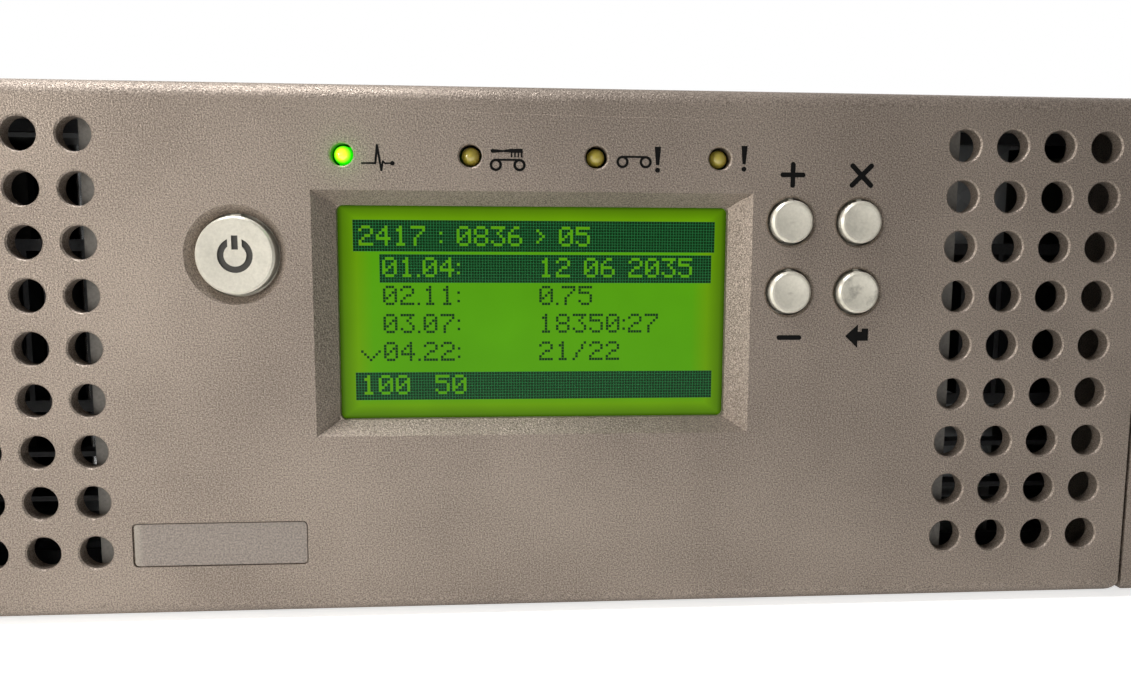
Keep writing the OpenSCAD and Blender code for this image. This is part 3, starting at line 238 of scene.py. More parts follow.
# Tag: a satin polyester film with a clear overlay, laid in its recess by hand.
film, tree, shader, place = finish("satin_polyester_film", Roughness=0.38)
shader.inputs["Coat Weight"].default_value = 0.25
shader.inputs["Coat Roughness"].default_value = 0.35
weave = put(tree, "ShaderNodeTexNoise", {"Vector": place, "Scale": 3400.0, "Detail": 2.0})
spread = put(tree, "ShaderNodeMapRange", {"Value": weave.outputs["Fac"], "From Min": 0.3,
                                          "From Max": 0.7})
tone = blend(tree, spread.outputs[0], "#716862", "#9f9389")
axes = put(tree, "ShaderNodeSeparateXYZ", {0: place})
# Painted highlight: a lighter tone is blended over the tag's left end, where the film has come up.
highlight_start, highlight_end = -64.7 * mm, -63.3 * mm  # the left end has come up and catches the light
lift = put(tree, "ShaderNodeMapRange", {"Value": axes.outputs["X"], "From Min": highlight_start,
                                        "From Max": highlight_end, "To Min": 0.45, "To Max": 0.0})
tone = blend(tree, lift.outputs[0], tone, "#bdb5a6")
tree.links.new(tone, shader.inputs["Base Color"])
emboss(tree, shader, weave.outputs["Fac"], 0.12, 0.05 * mm)
dress(film, "tag_plate")

# ---------------------------------------------------------------------------
# Display: a backlit yellow-green STN module behind a clear window. The dots
# are real squares on a fixed grid; bars are rows of dots set solid.
# ---------------------------------------------------------------------------

glass_low, glass_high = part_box("display_glass")
window_mid = (glass_low + glass_high) / 2
lcd, tree, shader, place = finish("stn_display_window", Roughness=0.3, Specular_IOR_Level=0.06)
shader.inputs["Coat Weight"].default_value = 0.05
shader.inputs["Coat Roughness"].default_value = 0.06
axes = put(tree, "ShaderNodeSeparateXYZ", {0: place})
fades = []
for axis, centre, even, edge in (("X", window_mid.x, 26.5, 32.2), ("Z", window_mid.z, 13.5, 17.7)):
    off = put(tree, "ShaderNodeMath", {0: axes.outputs[axis], 1: centre}, operation="SUBTRACT")
    off = put(tree, "ShaderNodeMath", {0: off.outputs[0]}, operation="ABSOLUTE")
    fades.append(put(tree, "ShaderNodeMapRange", {"Value": off.outputs[0], "From Min": even * mm,
                                                  "From Max": edge * mm}).outputs[0])
rim = put(tree, "ShaderNodeMath", {0: fades[0], 1: fades[1]}, operation="MAXIMUM")
ramp = put(tree, "ShaderNodeValToRGB", {0: rim.outputs[0]})
ramp.color_ramp.elements[0].color = shade("#529a06")
ramp.color_ramp.elements[1].color = shade("#1e3600")
ramp.color_ramp.elements.new(0.45).color = shade("#649600")
ramp.color_ramp.elements.new(0.82).color = shade("#4f7800")
cloud = put(tree, "ShaderNodeTexNoise", {"Vector": place, "Scale": 90.0, "Detail": 2.0})
cloud = put(tree, "ShaderNodeMapRange", {"Value": cloud.outputs["Fac"], "To Min": 0.85,
                                         "To Max": 1.12})
backlight = put(tree, "ShaderNodeVectorMath", {0: ramp.outputs[0], 1: cloud.outputs[0]},
                operation="MULTIPLY")
shader.inputs["Base Color"].default_value = shade("#0a1a02")
tree.links.new(backlight.outputs[0], shader.inputs["Emission Color"])
shader.inputs["Emission Strength"].default_value = 1.0
dress(lcd, "display_glass")

glyphs = {"0": "01110 10001 10011 10101 11001 10001 01110",
          "1": "00100 01100 00100 00100 00100 00100 01110",
          "2": "01110 10001 00001 00110 01000 10000 11111",
          "3": "11111 00010 00100 00010 00001 10001 01110",
          "4": "00010 00110 01010 10010 11111 00010 00010",
          "5": "11111 10000 11110 00001 00001 10001 01110",
          "6": "00110 01000 10000 11110 10001 10001 01110",
          "7": "11111 00001 00010 00100 01000 01000 01000",
          "8": "01110 10001 10001 01110 10001 10001 01110",
          "9": "01110 10001 10001 01111 00001 00010 01100",
          "/": "00001 00010 00010 00100 01000 01000 10000",
          ">": "000 100 010 001 010 100 000",
          " ": "000 000 000 000 000 000 000",
          ":": "0 0 1 0 0 1 0",
          ".": "0 0 0 0 0 0 1"}
columns, lines = 128, 64
dot_pitch, row_pitch = 0.4665 * mm, 0.4635 * mm
clear, dark, barred = 0, 1, 2
dots = [[clear] * columns for _ in range(lines)]
for top, bottom, left, end in ((0, 10, 0, 127), (12, 21, 9, 126), (54, 63, 0, 127)):
    for r in range(top, bottom + 1):
        for c in range(left, end + 1):
            dots[r][c] = barred


def write(text, row, column):
    """Sets text in dots from its top left dot; on a bar it is left clear."""
    for letter in text:
        glyph = glyphs[letter].split()
        for r, bits in enumerate(glyph):
            for c, bit in enumerate(bits):
                if bit == "1":
                    under = dots[row + r][column + c]
                    dots[row + r][column + c] = clear if under == barred else dark
        column += len(glyph[0]) + 1


write("2417 : 0836 > 05", 2, 2)
rows = {13: ("01.04:", "12 06 2035"), 23: ("02.11:", "0.75"), 33: ("03.07:", "18350:27"),
        43: ("04.22:", "21/22")}
for row, (left, right) in rows.items():
    write(left, row, 10)
    write(right, row, 65)
write("100  50", 55, 2)
for c, r in ((2, 46), (3, 47), (4, 48), (5, 49), (6, 48), (7, 47), (8, 46)):
    dots[r][c] = dark


def backlit(name, low, high, patch, glow):
    """The tone of crystal that the backlight shines through weakly."""
    made, tree, shader, place = finish(name, Roughness=0.3, Specular_IOR_Level=0.06,
                                       Coat_Weight=0.12, Coat_Roughness=0.06,
                                       Emission_Strength=glow)
    cloud = put(tree, "ShaderNodeTexNoise", {"Vector": place, "Scale": patch})
    tone = blend(tree, cloud.outputs["Fac"], low, high)
    tree.links.new(tone, shader.inputs["Base Color"])
    tree.links.new(tone, shader.inputs["Emission Color"])
    return made


dot_ink = backlit("stn_dot", "#052008", "#0a2a0e", 1200.0, 0.6)
bar_ink = backlit("stn_bar_ground", "#1b6636", "#226d3c", 700.0, 0.8)


def spots(name, places, build, sizes, material, body):
    """Repeats a shape on points with a Geometry Nodes tree, and keeps the plain mesh."""
    cloud_mesh = bpy.data.meshes.new(name)
    cloud_mesh.from_pydata([tuple(p) for p in places], [], [])
    obj = bpy.data.objects.new(name, cloud_mesh)
    bpy.context.scene.collection.objects.link(obj)
    group = bpy.data.node_groups.new(name, "GeometryNodeTree")
    group.interface.new_socket("Geometry", in_out="INPUT", socket_type="NodeSocketGeometry")
    group.interface.new_socket("Geometry", in_out="OUTPUT", socket_type="NodeSocketGeometry")
    for size in sizes:
        group.interface.new_socket(size, in_out="INPUT", socket_type="NodeSocketFloat")
    start = put(group, "NodeGroupInput")
    shape = build(group, start.outputs)
    row = put(group, "GeometryNodeInstanceOnPoints",
              {"Points": start.outputs["Geometry"], "Instance": shape})
    real = put(group, "GeometryNodeRealizeInstances", {0: row.outputs[0]})
    coat = put(group, "GeometryNodeSetMaterial",
               {"Geometry": real.outputs[0], "Material": material})
    put(group, "NodeGroupOutput", {0: coat.outputs[0]})
    modifier = obj.modifiers.new("repeat", "NODES")
    modifier.node_group = group
    for item in group.interface.items_tree:
        if item.in_out == "INPUT" and item.name in sizes:
            modifier[item.identifier] = sizes[item.name]
    bpy.context.view_layer.update()
    graph = bpy.context.evaluated_depsgraph_get()
    solid = bpy.data.meshes.new_from_object(obj.evaluated_get(graph))
    obj.modifiers.clear()
    obj.data = solid
    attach(obj, body)


def dot_square(group, size):
    """One flat square that faces the front."""
    grid = put(group, "GeometryNodeMeshGrid",
               {"Size X": size["Dot"], "Size Y": size["Dot"], "Vertices X": 2, "Vertices Y": 2})
    upright = put(group, "GeometryNodeTransform", {"Geometry": grid.outputs[0],
                                                   "Rotation": (math.pi / 2, 0, 0)})
    return upright.outputs[0]


grid_left = window_mid.x - 29.6 * mm
grid_top = window_mid.z + 15.2 * mm


def dot_places(kinds, proud):
    """The middles of the dots of some kinds, a little proud of the glass."""
    return [(grid_left + (c + 0.5) * dot_pitch, glass_low.y - proud,
             grid_top - (r + 0.5) * row_pitch)
            for r in range(lines) for c in range(columns) if dots[r][c] in kinds]


spots("display_bars", dot_places((barred,), 0.02 * mm), dot_square, {"Dot": dot_pitch}, bar_ink,
      "chassis")
spots("display_dots", dot_places((dark, barred), 0.04 * mm), dot_square, {"Dot": 0.41 * mm},
      dot_ink, "chassis")

# ---------------------------------------------------------------------------
# Status lamps: four epoxy LEDs behind the panel. The first is lit green with a
# bright core, and the others are unlit amber.
# ---------------------------------------------------------------------------

lens_low, lens_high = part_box("status_lenses")
lit_x = lens_low.x + 2 * mm
lens_z = (lens_low.z + lens_high.z) / 2
epoxy, tree, shader, place = finish("tinted_epoxy_lens", Roughness=0.12)
shader.inputs["Coat Weight"].default_value = 1.0
shader.inputs["Coat Roughness"].default_value = 0.03
axes = put(tree, "ShaderNodeSeparateXYZ", {0: place})
on = put(tree, "ShaderNodeMath", {0: axes.outputs["X"], 1: lit_x + 5 * mm}, operation="LESS_THAN")
core = put(tree, "ShaderNodeVectorMath", {0: place,
                                          1: (lit_x - 0.15 * mm, lens_low.y, lens_z + 0.1 * mm)},
           operation="DISTANCE")
core = put(tree, "ShaderNodeMapRange", {"Value": core.outputs["Value"], "From Min": 0.0,
                                        "From Max": 1.6 * mm})
ramp = put(tree, "ShaderNodeValToRGB", {0: core.outputs[0]})
ramp.color_ramp.elements[0].color = shade("#f0f53c")
ramp.color_ramp.elements[1].color = shade("#10c800")
ramp.color_ramp.elements.new(0.42).color = shade("#c8f020")
swirl = put(tree, "ShaderNodeTexNoise", {"Vector": place, "Scale": 900.0, "Detail": 2.0})
amber = blend(tree, swirl.outputs["Fac"], "#a3942c", "#c9b84e")
tone = blend(tree, on.outputs[0], amber, ramp.outputs[0])
tree.links.new(tone, shader.inputs["Base Color"])
light = blend(tree, on.outputs[0], "#000000", ramp.outputs[0])
tree.links.new(light, shader.inputs["Emission Color"])
shader.inputs["Emission Strength"].default_value = 1.4
dress(epoxy, "status_lenses")

spill = bpy.data.lights.new("lamp_spill", "POINT")
spill.energy = 0.00016
spill.color = shade("#40ff10")[:3]
spill.shadow_soft_size = 1.2 * mm
spill_lamp = bpy.data.objects.new("lamp_spill", spill)
spill_lamp.location = (lit_x, lens_low.y - 2.6 * mm, lens_z)
bpy.context.scene.collection.objects.link(spill_lamp)

# ---------------------------------------------------------------------------
# Printed signs: pad-printed black ink, a few hundredths thick. Each sign is a
# set of outlines in the panel's plane, given a real thickness.
# ---------------------------------------------------------------------------

ink, tree, shader, place = finish("black_pad_print", Roughness=0.6, Specular_IOR_Level=0.1)
speck = put(tree, "ShaderNodeTexNoise", {"Vector": place, "Scale": 2600.0, "Detail": 2.0})
tone = blend(tree, speck.outputs["Fac"], "#050505", "#121110")
tree.links.new(tone, shader.inputs["Base Color"])
panel_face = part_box("front_panel")[0].y


def bar_shape(a, b, w0, w1=None):
    """A straight stroke from a to b with round ends; its width may change along it."""
    ends = 10
    w1 = w0 if w1 is None else w1
    along = math.atan2(b[1] - a[1], b[0] - a[0])
    points = []
    for centre, w, start in ((a, w0, along + math.pi / 2), (b, w1, along - math.pi / 2)):
        for i in range(ends + 1):
            t = start + math.pi * i / ends
            points.append((centre[0] + w / 2 * math.cos(t), centre[1] + w / 2 * math.sin(t)))
    return [points]


def round_point(x, z, r, i, steps):
    turn = 2 * math.pi * i / steps
    return x + r * math.cos(turn), z + r * math.sin(turn)


def ring_shape(x, z, outer, inner):
    steps = 28
    return [[round_point(x, z, inner, i, steps), round_point(x, z, outer, i, steps),
             round_point(x, z, outer, i + 1, steps), round_point(x, z, inner, i + 1, steps)]
            for i in range(steps)]


def disc_shape(x, z, r):
    steps = 20
    return [[round_point(x, z, r, i, steps) for i in range(steps)]]


def box_shape(x0, x1, z0, z1):
    return [[(x0, z0), (x1, z0), (x1, z1), (x0, z1)]]


def sign(name, shapes):
    """A printed sign on the panel's face, from outlines in millimetres."""
    thick, sunk, step = 0.03 * mm, 0.002 * mm, 0.0002 * mm  # step keeps the outlines' faces apart
    bm = bmesh.new()
    for layer, shape in enumerate(shapes):
        back = panel_face + sunk
        front = panel_face - thick - layer * step
        rims = []
        for depth in (back, front):
            rims.append([bm.verts.new((x * mm, depth, z * mm)) for x, z in shape])
        bm.faces.new(rims[1])
        bm.faces.new(list(reversed(rims[0])))
        n = len(shape)
        for i in range(n):
            bm.faces.new((rims[0][i], rims[0][(i + 1) % n], rims[1][(i + 1) % n], rims[1][i]))
    bmesh.ops.recalc_face_normals(bm, faces=bm.faces)
    mesh = bpy.data.meshes.new(name)
    bm.to_mesh(mesh)
    bm.free()
    mesh.materials.append(ink)
    obj = bpy.data.objects.new(name, mesh)
    bpy.context.scene.collection.objects.link(obj)
    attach(obj, "chassis")


# A pulse line that ends in a dot, its stroke given by points and widths.
beat = [(-27.3, 73.96), (-25.2, 73.97), (-24.89, 76.75), (-24.29, 72.9), (-24.02, 74.3),
        (-23.7, 73.98), (-22.54, 73.98)]
beat_w = [0.26, 0.34, 0.34, 0.34, 0.26, 0.26, 0.26]
shapes = []
for i in range(len(beat) - 1):
    shapes += bar_shape(beat[i], beat[i + 1], beat_w[i], beat_w[i + 1])
sign("sign_ready", shapes + disc_shape(-22.54, 73.98, 0.36))

# Two reels with tape between them, and a brush over it with four bristles.
shapes = ring_shape(-6.35, 73.92, 0.98, 0.56) + ring_shape(-2.6, 73.92, 0.98, 0.56)
shapes += box_shape(-6.5, -2.45, 74.56, 74.88)
shapes += bar_shape((-6.85, 76.07), (-5.2, 76.07), 0.62, 0.3)
shapes += bar_shape((-5.2, 76.07), (-3.9, 76.14), 0.3, 0.62)
shapes += [[(-4.0, 75.8), (-2.1, 75.8), (-2.1, 76.47), (-4.0, 76.44)]]
for i in range(4):
    x = -3.97 + i * 0.53
    shapes += box_shape(x, x + 0.24, 75.12, 75.82)
sign("sign_clean_drive", shapes)


def bang(x, top):
    """An exclamation mark that hangs down from its top."""
    foot, half_foot, half_top = top - 2.9, 0.26, 0.51
    stroke = [(x - half_foot, foot), (x + half_foot, foot), (x + half_top, top),
              (x - half_top, top)]
    return [stroke] + disc_shape(x, top - 3.7, 0.4)


shapes = ring_shape(13.86, 74.6, 0.98, 0.58) + ring_shape(17.6, 74.6, 0.98, 0.58)
shapes += box_shape(13.75, 17.7, 75.24, 75.57)
sign("sign_tape_attention", shapes + bang(19.54, 77.05))
sign("sign_error", bang(33.66, 77.37))

up_x, cancel_x = [(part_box(n)[0].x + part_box(n)[1].x) / 2 / mm for n in ("key_up", "key_cancel")]
plus_z, minus_z, arm, slant = 72.85, 46.28, 1.69, 1.57
sign("sign_plus", bar_shape((up_x - arm, plus_z), (up_x + arm, plus_z), 0.78)
     + bar_shape((up_x, plus_z - arm), (up_x, plus_z + arm), 0.78))
left, end, low, high = cancel_x - slant, cancel_x + slant, plus_z - slant, plus_z + slant
sign("sign_cancel", bar_shape((left, low), (end, high), 0.82)
     + bar_shape((left, high), (end, low), 0.82))
minus_x = up_x + 0.2
sign("sign_minus", bar_shape((minus_x - arm, minus_z), (minus_x + arm, minus_z), 0.8))
x, z = cancel_x + 0.32, 46.5
sign("sign_enter", [[(x - 2.05, z), (x + 0.08, z - 2.0), (x + 0.08, z + 1.95)]]
     + box_shape(x, x + 1.85, z - 0.8, z + 0.72) + box_shape(x + 0.72, x + 1.85, z + 0.7, z + 1.25))

# ---------------------------------------------------------------------------
# Power button and keys: light warm-grey ABS, satin from the mould. The power
# sign's engraved floor is coloured darker, and the enter key is worn and grimy.
# ---------------------------------------------------------------------------


def key_plastic(name, node, wear, engraved=False):
    """Satin ABS with grime in patches; an engraved sign's floor is coloured darker."""
    made, tree, shader, place = finish(name, Metallic=0.35, Roughness=0.34)
    speck = put(tree, "ShaderNodeTexNoise", {"Vector": place, "Scale": 2200.0, "Detail": 2.0})
    cloud = put(tree, "ShaderNodeTexNoise", {"Vector": place, "Scale": 260.0, "Detail": 5.0,
                                             "Roughness": 0.65})
    tone = blend(tree, speck.outputs["Fac"], "#cbc6b8", "#e8e3d5")
    grime = put(tree, "ShaderNodeMapRange", {"Value": cloud.outputs["Fac"], "From Min": 0.5,
                                             "From Max": 0.68, "To Max": wear})
    tone = blend(tree, grime.outputs[0], tone, "#77736a")
    if engraved:
        low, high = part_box(node)
        centre = ((low.x + high.x) / 2, 0, high.z - (high.x - low.x) / 2)
        flat = put(tree, "ShaderNodeVectorMath", {0: place, 1: (1, 0, 1)}, operation="MULTIPLY")
        reach = put(tree, "ShaderNodeVectorMath", {0: flat.outputs[0], 1: centre},
                    operation="DISTANCE")
        inside = put(tree, "ShaderNodeMath", {0: reach.outputs["Value"], 1: 3.6 * mm},
                     operation="LESS_THAN")
        depth = put(tree, "ShaderNodeSeparateXYZ", {0: place})
        sunk = put(tree, "ShaderNodeMath", {0: depth.outputs["Y"], 1: panel_face + 0.1 * mm},
                   operation="GREATER_THAN")
        sign_floor = put(tree, "ShaderNodeMath", {0: inside.outputs[0], 1: sunk.outputs[0]},
                     operation="MULTIPLY")
        # The floor of the engraved sign, below the face, is coloured darker.
        tone = blend(tree, sign_floor.outputs[0], tone, "#4a4844")
    tree.links.new(tone, shader.inputs["Base Color"])
    emboss(tree, shader, speck.outputs["Fac"], 0.12, 0.05 * mm)
    dress(made, node)


key_plastic("satin_abs_button", "power_button", 0.12, engraved=True)
key_plastic("satin_abs_key_up", "key_up", 0.15)
key_plastic("satin_abs_key_cancel", "key_cancel", 0.2)
key_plastic("satin_abs_key_down", "key_down", 0.15)
key_plastic("satin_abs_key_enter", "key_enter", 0.75)

# ---------------------------------------------------------------------------
# Panel back: the operator board sits in a grey glass-filled nylon housing that
# clips to the bezel, in front of a black-plated steel brace. Only the vents
# show them.
# ---------------------------------------------------------------------------


def moulded(name, low, high, rough=0.5, grain_mm=0.5):
    """A matt moulding: fine tool texture, and broad clouds in its tone."""
    made, tree, shader, place = finish(name, Roughness=rough)
    grain = put(tree, "ShaderNodeTexNoise", {"Vector": place, "Scale": 1 / (grain_mm * mm),
                                             "Detail": 3.0})
    cloud = put(tree, "ShaderNodeTexNoise", {"Vector": place, "Scale": 45.0, "Detail": 4.0})
    both = put(tree, "ShaderNodeMath", {0: grain.outputs["Fac"], 1: cloud.outputs["Fac"]},
               operation="MULTIPLY")
    spread = put(tree, "ShaderNodeMapRange",
                 {"Value": both.outputs[0], "From Min": 0.12, "From Max": 0.4})
    tone = blend(tree, spread.outputs[0], low, high)
    tree.links.new(tone, shader.inputs["Base Color"])
    emboss(tree, shader, grain.outputs["Fac"], 0.25, 0.1 * mm)
    return made


dress(moulded("grey_glass_filled_nylon", "#5f5c57", "#77736d"), "operator_housing")
dress(moulded("black_display_frame", "#141415", "#232324", 0.42), "display_module")
dress(moulded("black_plated_brace", "#232426", "#34363a", 0.4), "front_brace")

# ---------------------------------------------------------------------------
# Sheet metal: hot-dip galvanised steel, blanked and folded. The zinc crystals
# give broad soft patches, with a faint rolling direction.
# ---------------------------------------------------------------------------


def plated(name, low, high, rough, spangle_mm=9, roll=True):
    """Plated or cast metal: patches of crystal, and rolling lines along Y."""
    made, tree, shader, place = finish(name, Metallic=1.0, Roughness=rough)
    crystal = put(tree, "ShaderNodeTexVoronoi", {"Vector": place, "Scale": 1 / (spangle_mm * mm)})
    stretch = put(tree, "ShaderNodeMapping", {"Vector": place, "Scale": (1800, 30, 1800)})
    lines = put(tree, "ShaderNodeTexNoise", {"Vector": stretch.outputs[0], "Scale": 1.0,
                                             "Detail": 3.0})
    mixed = blend(tree, 0.35 if roll else 0.1, crystal.outputs["Color"], lines.outputs["Color"])
    level = put(tree, "ShaderNodeSeparateColor", {0: mixed})
    tone = blend(tree, level.outputs[0], low, high)
    tree.links.new(tone, shader.inputs["Base Color"])
    gloss = put(tree, "ShaderNodeMapRange", {"Value": level.outputs[1], "To Min": rough - 0.07,
                                             "To Max": rough + 0.1})
    tree.links.new(gloss.outputs[0], shader.inputs["Roughness"])
    emboss(tree, shader, lines.outputs["Fac"], 0.08, 0.02 * mm)
    return made


galvanised = plated("galvanised_steel_sheet", "#9a9d9e", "#aeb1b1", 0.45)
dress(galvanised, "base_tray", "top_cover", "rear_panel", "drive_bay_guides", "sled_tray",
      "bay_cover", "power_supply", "controller_bracket")
dress(plated("zinc_plated_runner", "#8c8f90", "#a5a8a8", 0.38, 6), "magazine_runners", "rod_clamps")


def turned(name, low, high, rough):
    """Bright machined metal with a fine uneven sheen."""
    made, tree, shader, place = finish(name, Metallic=1.0, Roughness=rough)
    rings = put(tree, "ShaderNodeTexNoise", {"Vector": place, "Scale": 900.0, "Detail": 3.0})
    tone = blend(tree, rings.outputs["Fac"], low, high)
    tree.links.new(tone, shader.inputs["Base Color"])
    gloss = put(tree, "ShaderNodeMapRange", {"Value": rings.outputs["Fac"], "To Min": rough - 0.05,
                                             "To Max": rough + 0.1})
    tree.links.new(gloss.outputs[0], shader.inputs["Roughness"])
    return made


dress(turned("ground_steel_shaft", "#b3b5b6", "#cfd0d0", 0.16), "guide_rod", "lift_posts",
      "lock_left_plunger", "lock_right_plunger")
dress(turned("nickel_plated_screw", "#a3a4a2", "#c2c3c0", 0.26), "cover_screws", "sled_thumbscrews")
dress(turned("nickel_port_shell", "#a9aaa8", "#c6c7c5", 0.3), "host_port", "network_port",
      "service_port")

# ---------------------------------------------------------------------------
# Magazines: grey polycarbonate mouldings, matt from a textured tool, that snap
# together into rows of slots. One holds a tape cartridge in its black shell.
# ---------------------------------------------------------------------------

dress(moulded("grey_polycarbonate_wall", "#5e5c58", "#716e69", 0.5), "magazine_left_wall",
      "magazine_right_wall", "magazine_left_dividers", "magazine_right_dividers")
dress(moulded("grey_polycarbonate_shelf", "#6d6b66", "#817e78", 0.5), "magazine_left_shelves",
      "magazine_right_shelves", "mail_slot_tray")
dress(moulded("black_cartridge_shell", "#18181b", "#2a2a2e", 0.45, 0.35), "tape_cartridge")

# ---------------------------------------------------------------------------
# Robot: a die-cast carriage and lift on ground steel posts. A brass pinion runs
# on a black acetal rack, and the motors are small blackened cans.
# ---------------------------------------------------------------------------

dress(moulded("black_acetal_rack", "#161617", "#242425", 0.35, 0.8), "toothed_rack")
dress(plated("cast_alloy_frame", "#9b9ea0", "#b8bbbc", 0.48, 3, roll=False), "carriage_frame",
      "lift_frame")
dress(moulded("grey_acetal_turntable", "#4b4d50", "#606366", 0.4), "turntable")
dress(moulded("black_reader_case", "#0f0f10", "#1c1c1d", 0.35), "barcode_reader")
dress(plated("stamped_steel_gripper", "#8d9092", "#a7aaab", 0.34, 4), "gripper")
dress(turned("brass_pinion", "#b08a3a", "#cda654", 0.28), "rack_pinion")
dress(turned("blackened_motor_can", "#3a3c3f", "#505357", 0.36), "carriage_motor", "lift_motor")


def wound(name):
    """Turns of enamelled wire, side by side along X."""
    made, tree, shader, place = finish(name, Metallic=0.9, Roughness=0.35)
    turns = put(tree, "ShaderNodeTexWave", {"Vector": place, "Scale": 420.0, "Distortion": 0.6},
                bands_direction="X")
    tone = blend(tree, turns.outputs["Fac"], "#7a3d14", "#c07a3c")
    tree.links.new(tone, shader.inputs["Base Color"])
    emboss(tree, shader, turns.outputs["Fac"], 0.5, 0.2 * mm)
    return made


# Magazine locks: a copper coil on each side pulls its steel plunger.
dress(wound("enamelled_copper_coil"), "lock_left_coil", "lock_right_coil")

# ---------------------------------------------------------------------------
# Boards: green solder mask over copper tracks, with tinned pads. The operator
# board carries five black tact switches, the controller its chips, three
# electrolytic cans in blue sleeves, and brass standoffs.
# ---------------------------------------------------------------------------


def mask_of(tree, place, low, high):
    """One inside the box from low to high, and nought outside it."""
    above = put(tree, "ShaderNodeVectorMath", {0: place, 1: low}, operation="SUBTRACT")
    below = put(tree, "ShaderNodeVectorMath", {0: high, 1: place}, operation="SUBTRACT")
    least = put(tree, "ShaderNodeVectorMath", {0: above.outputs[0], 1: below.outputs[0]},
                operation="MINIMUM")
    part = put(tree, "ShaderNodeSeparateXYZ", {0: least.outputs[0]})
    least = put(tree, "ShaderNodeMath", {0: part.outputs[0], 1: part.outputs[1]},
                operation="MINIMUM")
    least = put(tree, "ShaderNodeMath", {0: least.outputs[0], 1: part.outputs[2]},
                operation="MINIMUM")
    return put(tree, "ShaderNodeMath", {0: least.outputs[0], 1: 0.0},
               operation="GREATER_THAN").outputs[0]


def populated(name, parts):
    """Solder mask, and the finish of the parts that stand in each box."""
    made, tree, shader, place = finish(name, Roughness=0.32)
    shader.inputs["Coat Weight"].default_value = 0.3
    tracks = put(tree, "ShaderNodeTexBrick",
                 {"Vector": place, "Scale": 260.0, "Color1": shade("#0f5a2c"),
                  "Color2": shade("#14693a"), "Mortar": shade("#0a421f"), "Mortar Size": 0.03})
    tone = tracks.outputs["Color"]
    speck = put(tree, "ShaderNodeTexNoise", {"Vector": place, "Scale": 2000.0, "Detail": 2.0})
    for low, high, dark, light in parts:
        inside = mask_of(tree, place, low, high)
        part = blend(tree, speck.outputs["Fac"], dark, light)
        tone = blend(tree, inside, tone, part)
    tree.links.new(tone, shader.inputs["Base Color"])
    emboss(tree, shader, tracks.outputs["Fac"], 0.2, 0.05 * mm)
    return made


skin = 0.05 * mm  # how far a box stays off the face it starts from
low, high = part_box("operator_board")
board_t = 1.6 * mm
switches = ((low.x, low.y - mm, low.z), (high.x, high.y - board_t - skin, high.z),
            "#111112", "#202022")
dress(populated("operator_solder_mask", [switches]), "operator_board")
low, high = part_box("controller_board")
tallest, can_deep, sleeve, cap = 10 * mm, 58.6 * mm, 4.5 * mm, 3.6 * mm
top = high.z - tallest
parts = [((low.x, low.y, top + skin), (high.x, high.y, high.z + mm), "#131314", "#232325"),
         ((low.x, low.y, low.z - mm), (high.x, high.y, top - board_t - skin), "#a8843c", "#c9a552")]
for i in range(3):
    x, y = low.x + (30 + 14 * i) * mm, high.y - can_deep
    parts += [((x - sleeve, y - sleeve, top + skin), (x + sleeve, y + sleeve, high.z + mm),
               "#1d3a6e", "#27498a"),
              ((x - cap, y - cap, high.z - skin), (x + cap, y + cap, high.z + mm),
               "#a7a9aa", "#c3c5c6")]
dress(populated("controller_solder_mask", parts), "controller_board")


def block_shape(group, size):
    """One plain block."""
    sides = put(group, "ShaderNodeCombineXYZ", {0: size["Wide"], 1: size["Deep"], 2: size["High"]})
    return put(group, "GeometryNodeMeshCube", {"Size": sides.outputs[0]}).outputs["Mesh"]


solder = turned("tinned_pad", "#a3a6a8", "#c4c7c9", 0.3)
pads = [(low.x + (4 + 4.4 * i) * mm, low.y + y * mm, top + 0.03 * mm) for i in range(22)
        for y in (14, 24, 98)]
spots("controller_pads", pads, block_shape, {"Wide": 1.6 * mm, "Deep": 2.6 * mm, "High": 0.06 * mm},
      solder, "chassis")
legs = [(low.x + (22 + 2.0 * i) * mm, high.y - y * mm, top + 0.25 * mm) for i in range(15)
        for y in (75.7, 109.5)]
spots("controller_chip_legs", legs, block_shape,
      {"Wide": 0.7 * mm, "Deep": 1.6 * mm, "High": 0.5 * mm}, solder, "chassis")
low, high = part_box("operator_board")
pads = [(low.x + (6 + 4.0 * i) * mm, high.y + 0.02 * mm, low.z + z * mm) for i in range(31)
        for z in (8, 59)]
spots("operator_board_joints", pads, block_shape,
      {"Wide": 1.5 * mm, "Deep": 0.06 * mm, "High": 1.5 * mm}, solder, "chassis")

# ---------------------------------------------------------------------------
# Rear: the drive in its sled with a blue nylon handle, the power supply with
# its inlet, and the fans. Only the inlet's three blades are added here.
# ---------------------------------------------------------------------------

dress(plated("drive_case_steel", "#6f7275", "#8b8e90", 0.4, 7), "tape_drive")
dress(moulded("blue_handle_nylon", "#2f5580", "#41699a", 0.38, 0.4), "sled_handle")
dress(moulded("black_fan_blade", "#1b1c1d", "#2b2c2e", 0.42), "sled_fan", "supply_fan")
dress(moulded("black_inlet_nylon", "#121213", "#1d1d1e", 0.36), "power_inlet")

low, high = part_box("power_inlet")
blade_x, blade_z = (low.x + high.x) / 2, (low.z + high.z) / 2
blades = [(blade_x + x * mm, low.y + 10.2 * mm, blade_z + z * mm)
          for x, z in ((-7, -2.4), (7, -2.4), (0, 2.8))]
spots("inlet_blades", blades, block_shape, {"Wide": 2.1 * mm, "Deep": 11.6 * mm, "High": 4.1 * mm},
      turned("nickel_plated_blade", "#a9aaa6", "#c7c8c4", 0.24), "chassis")

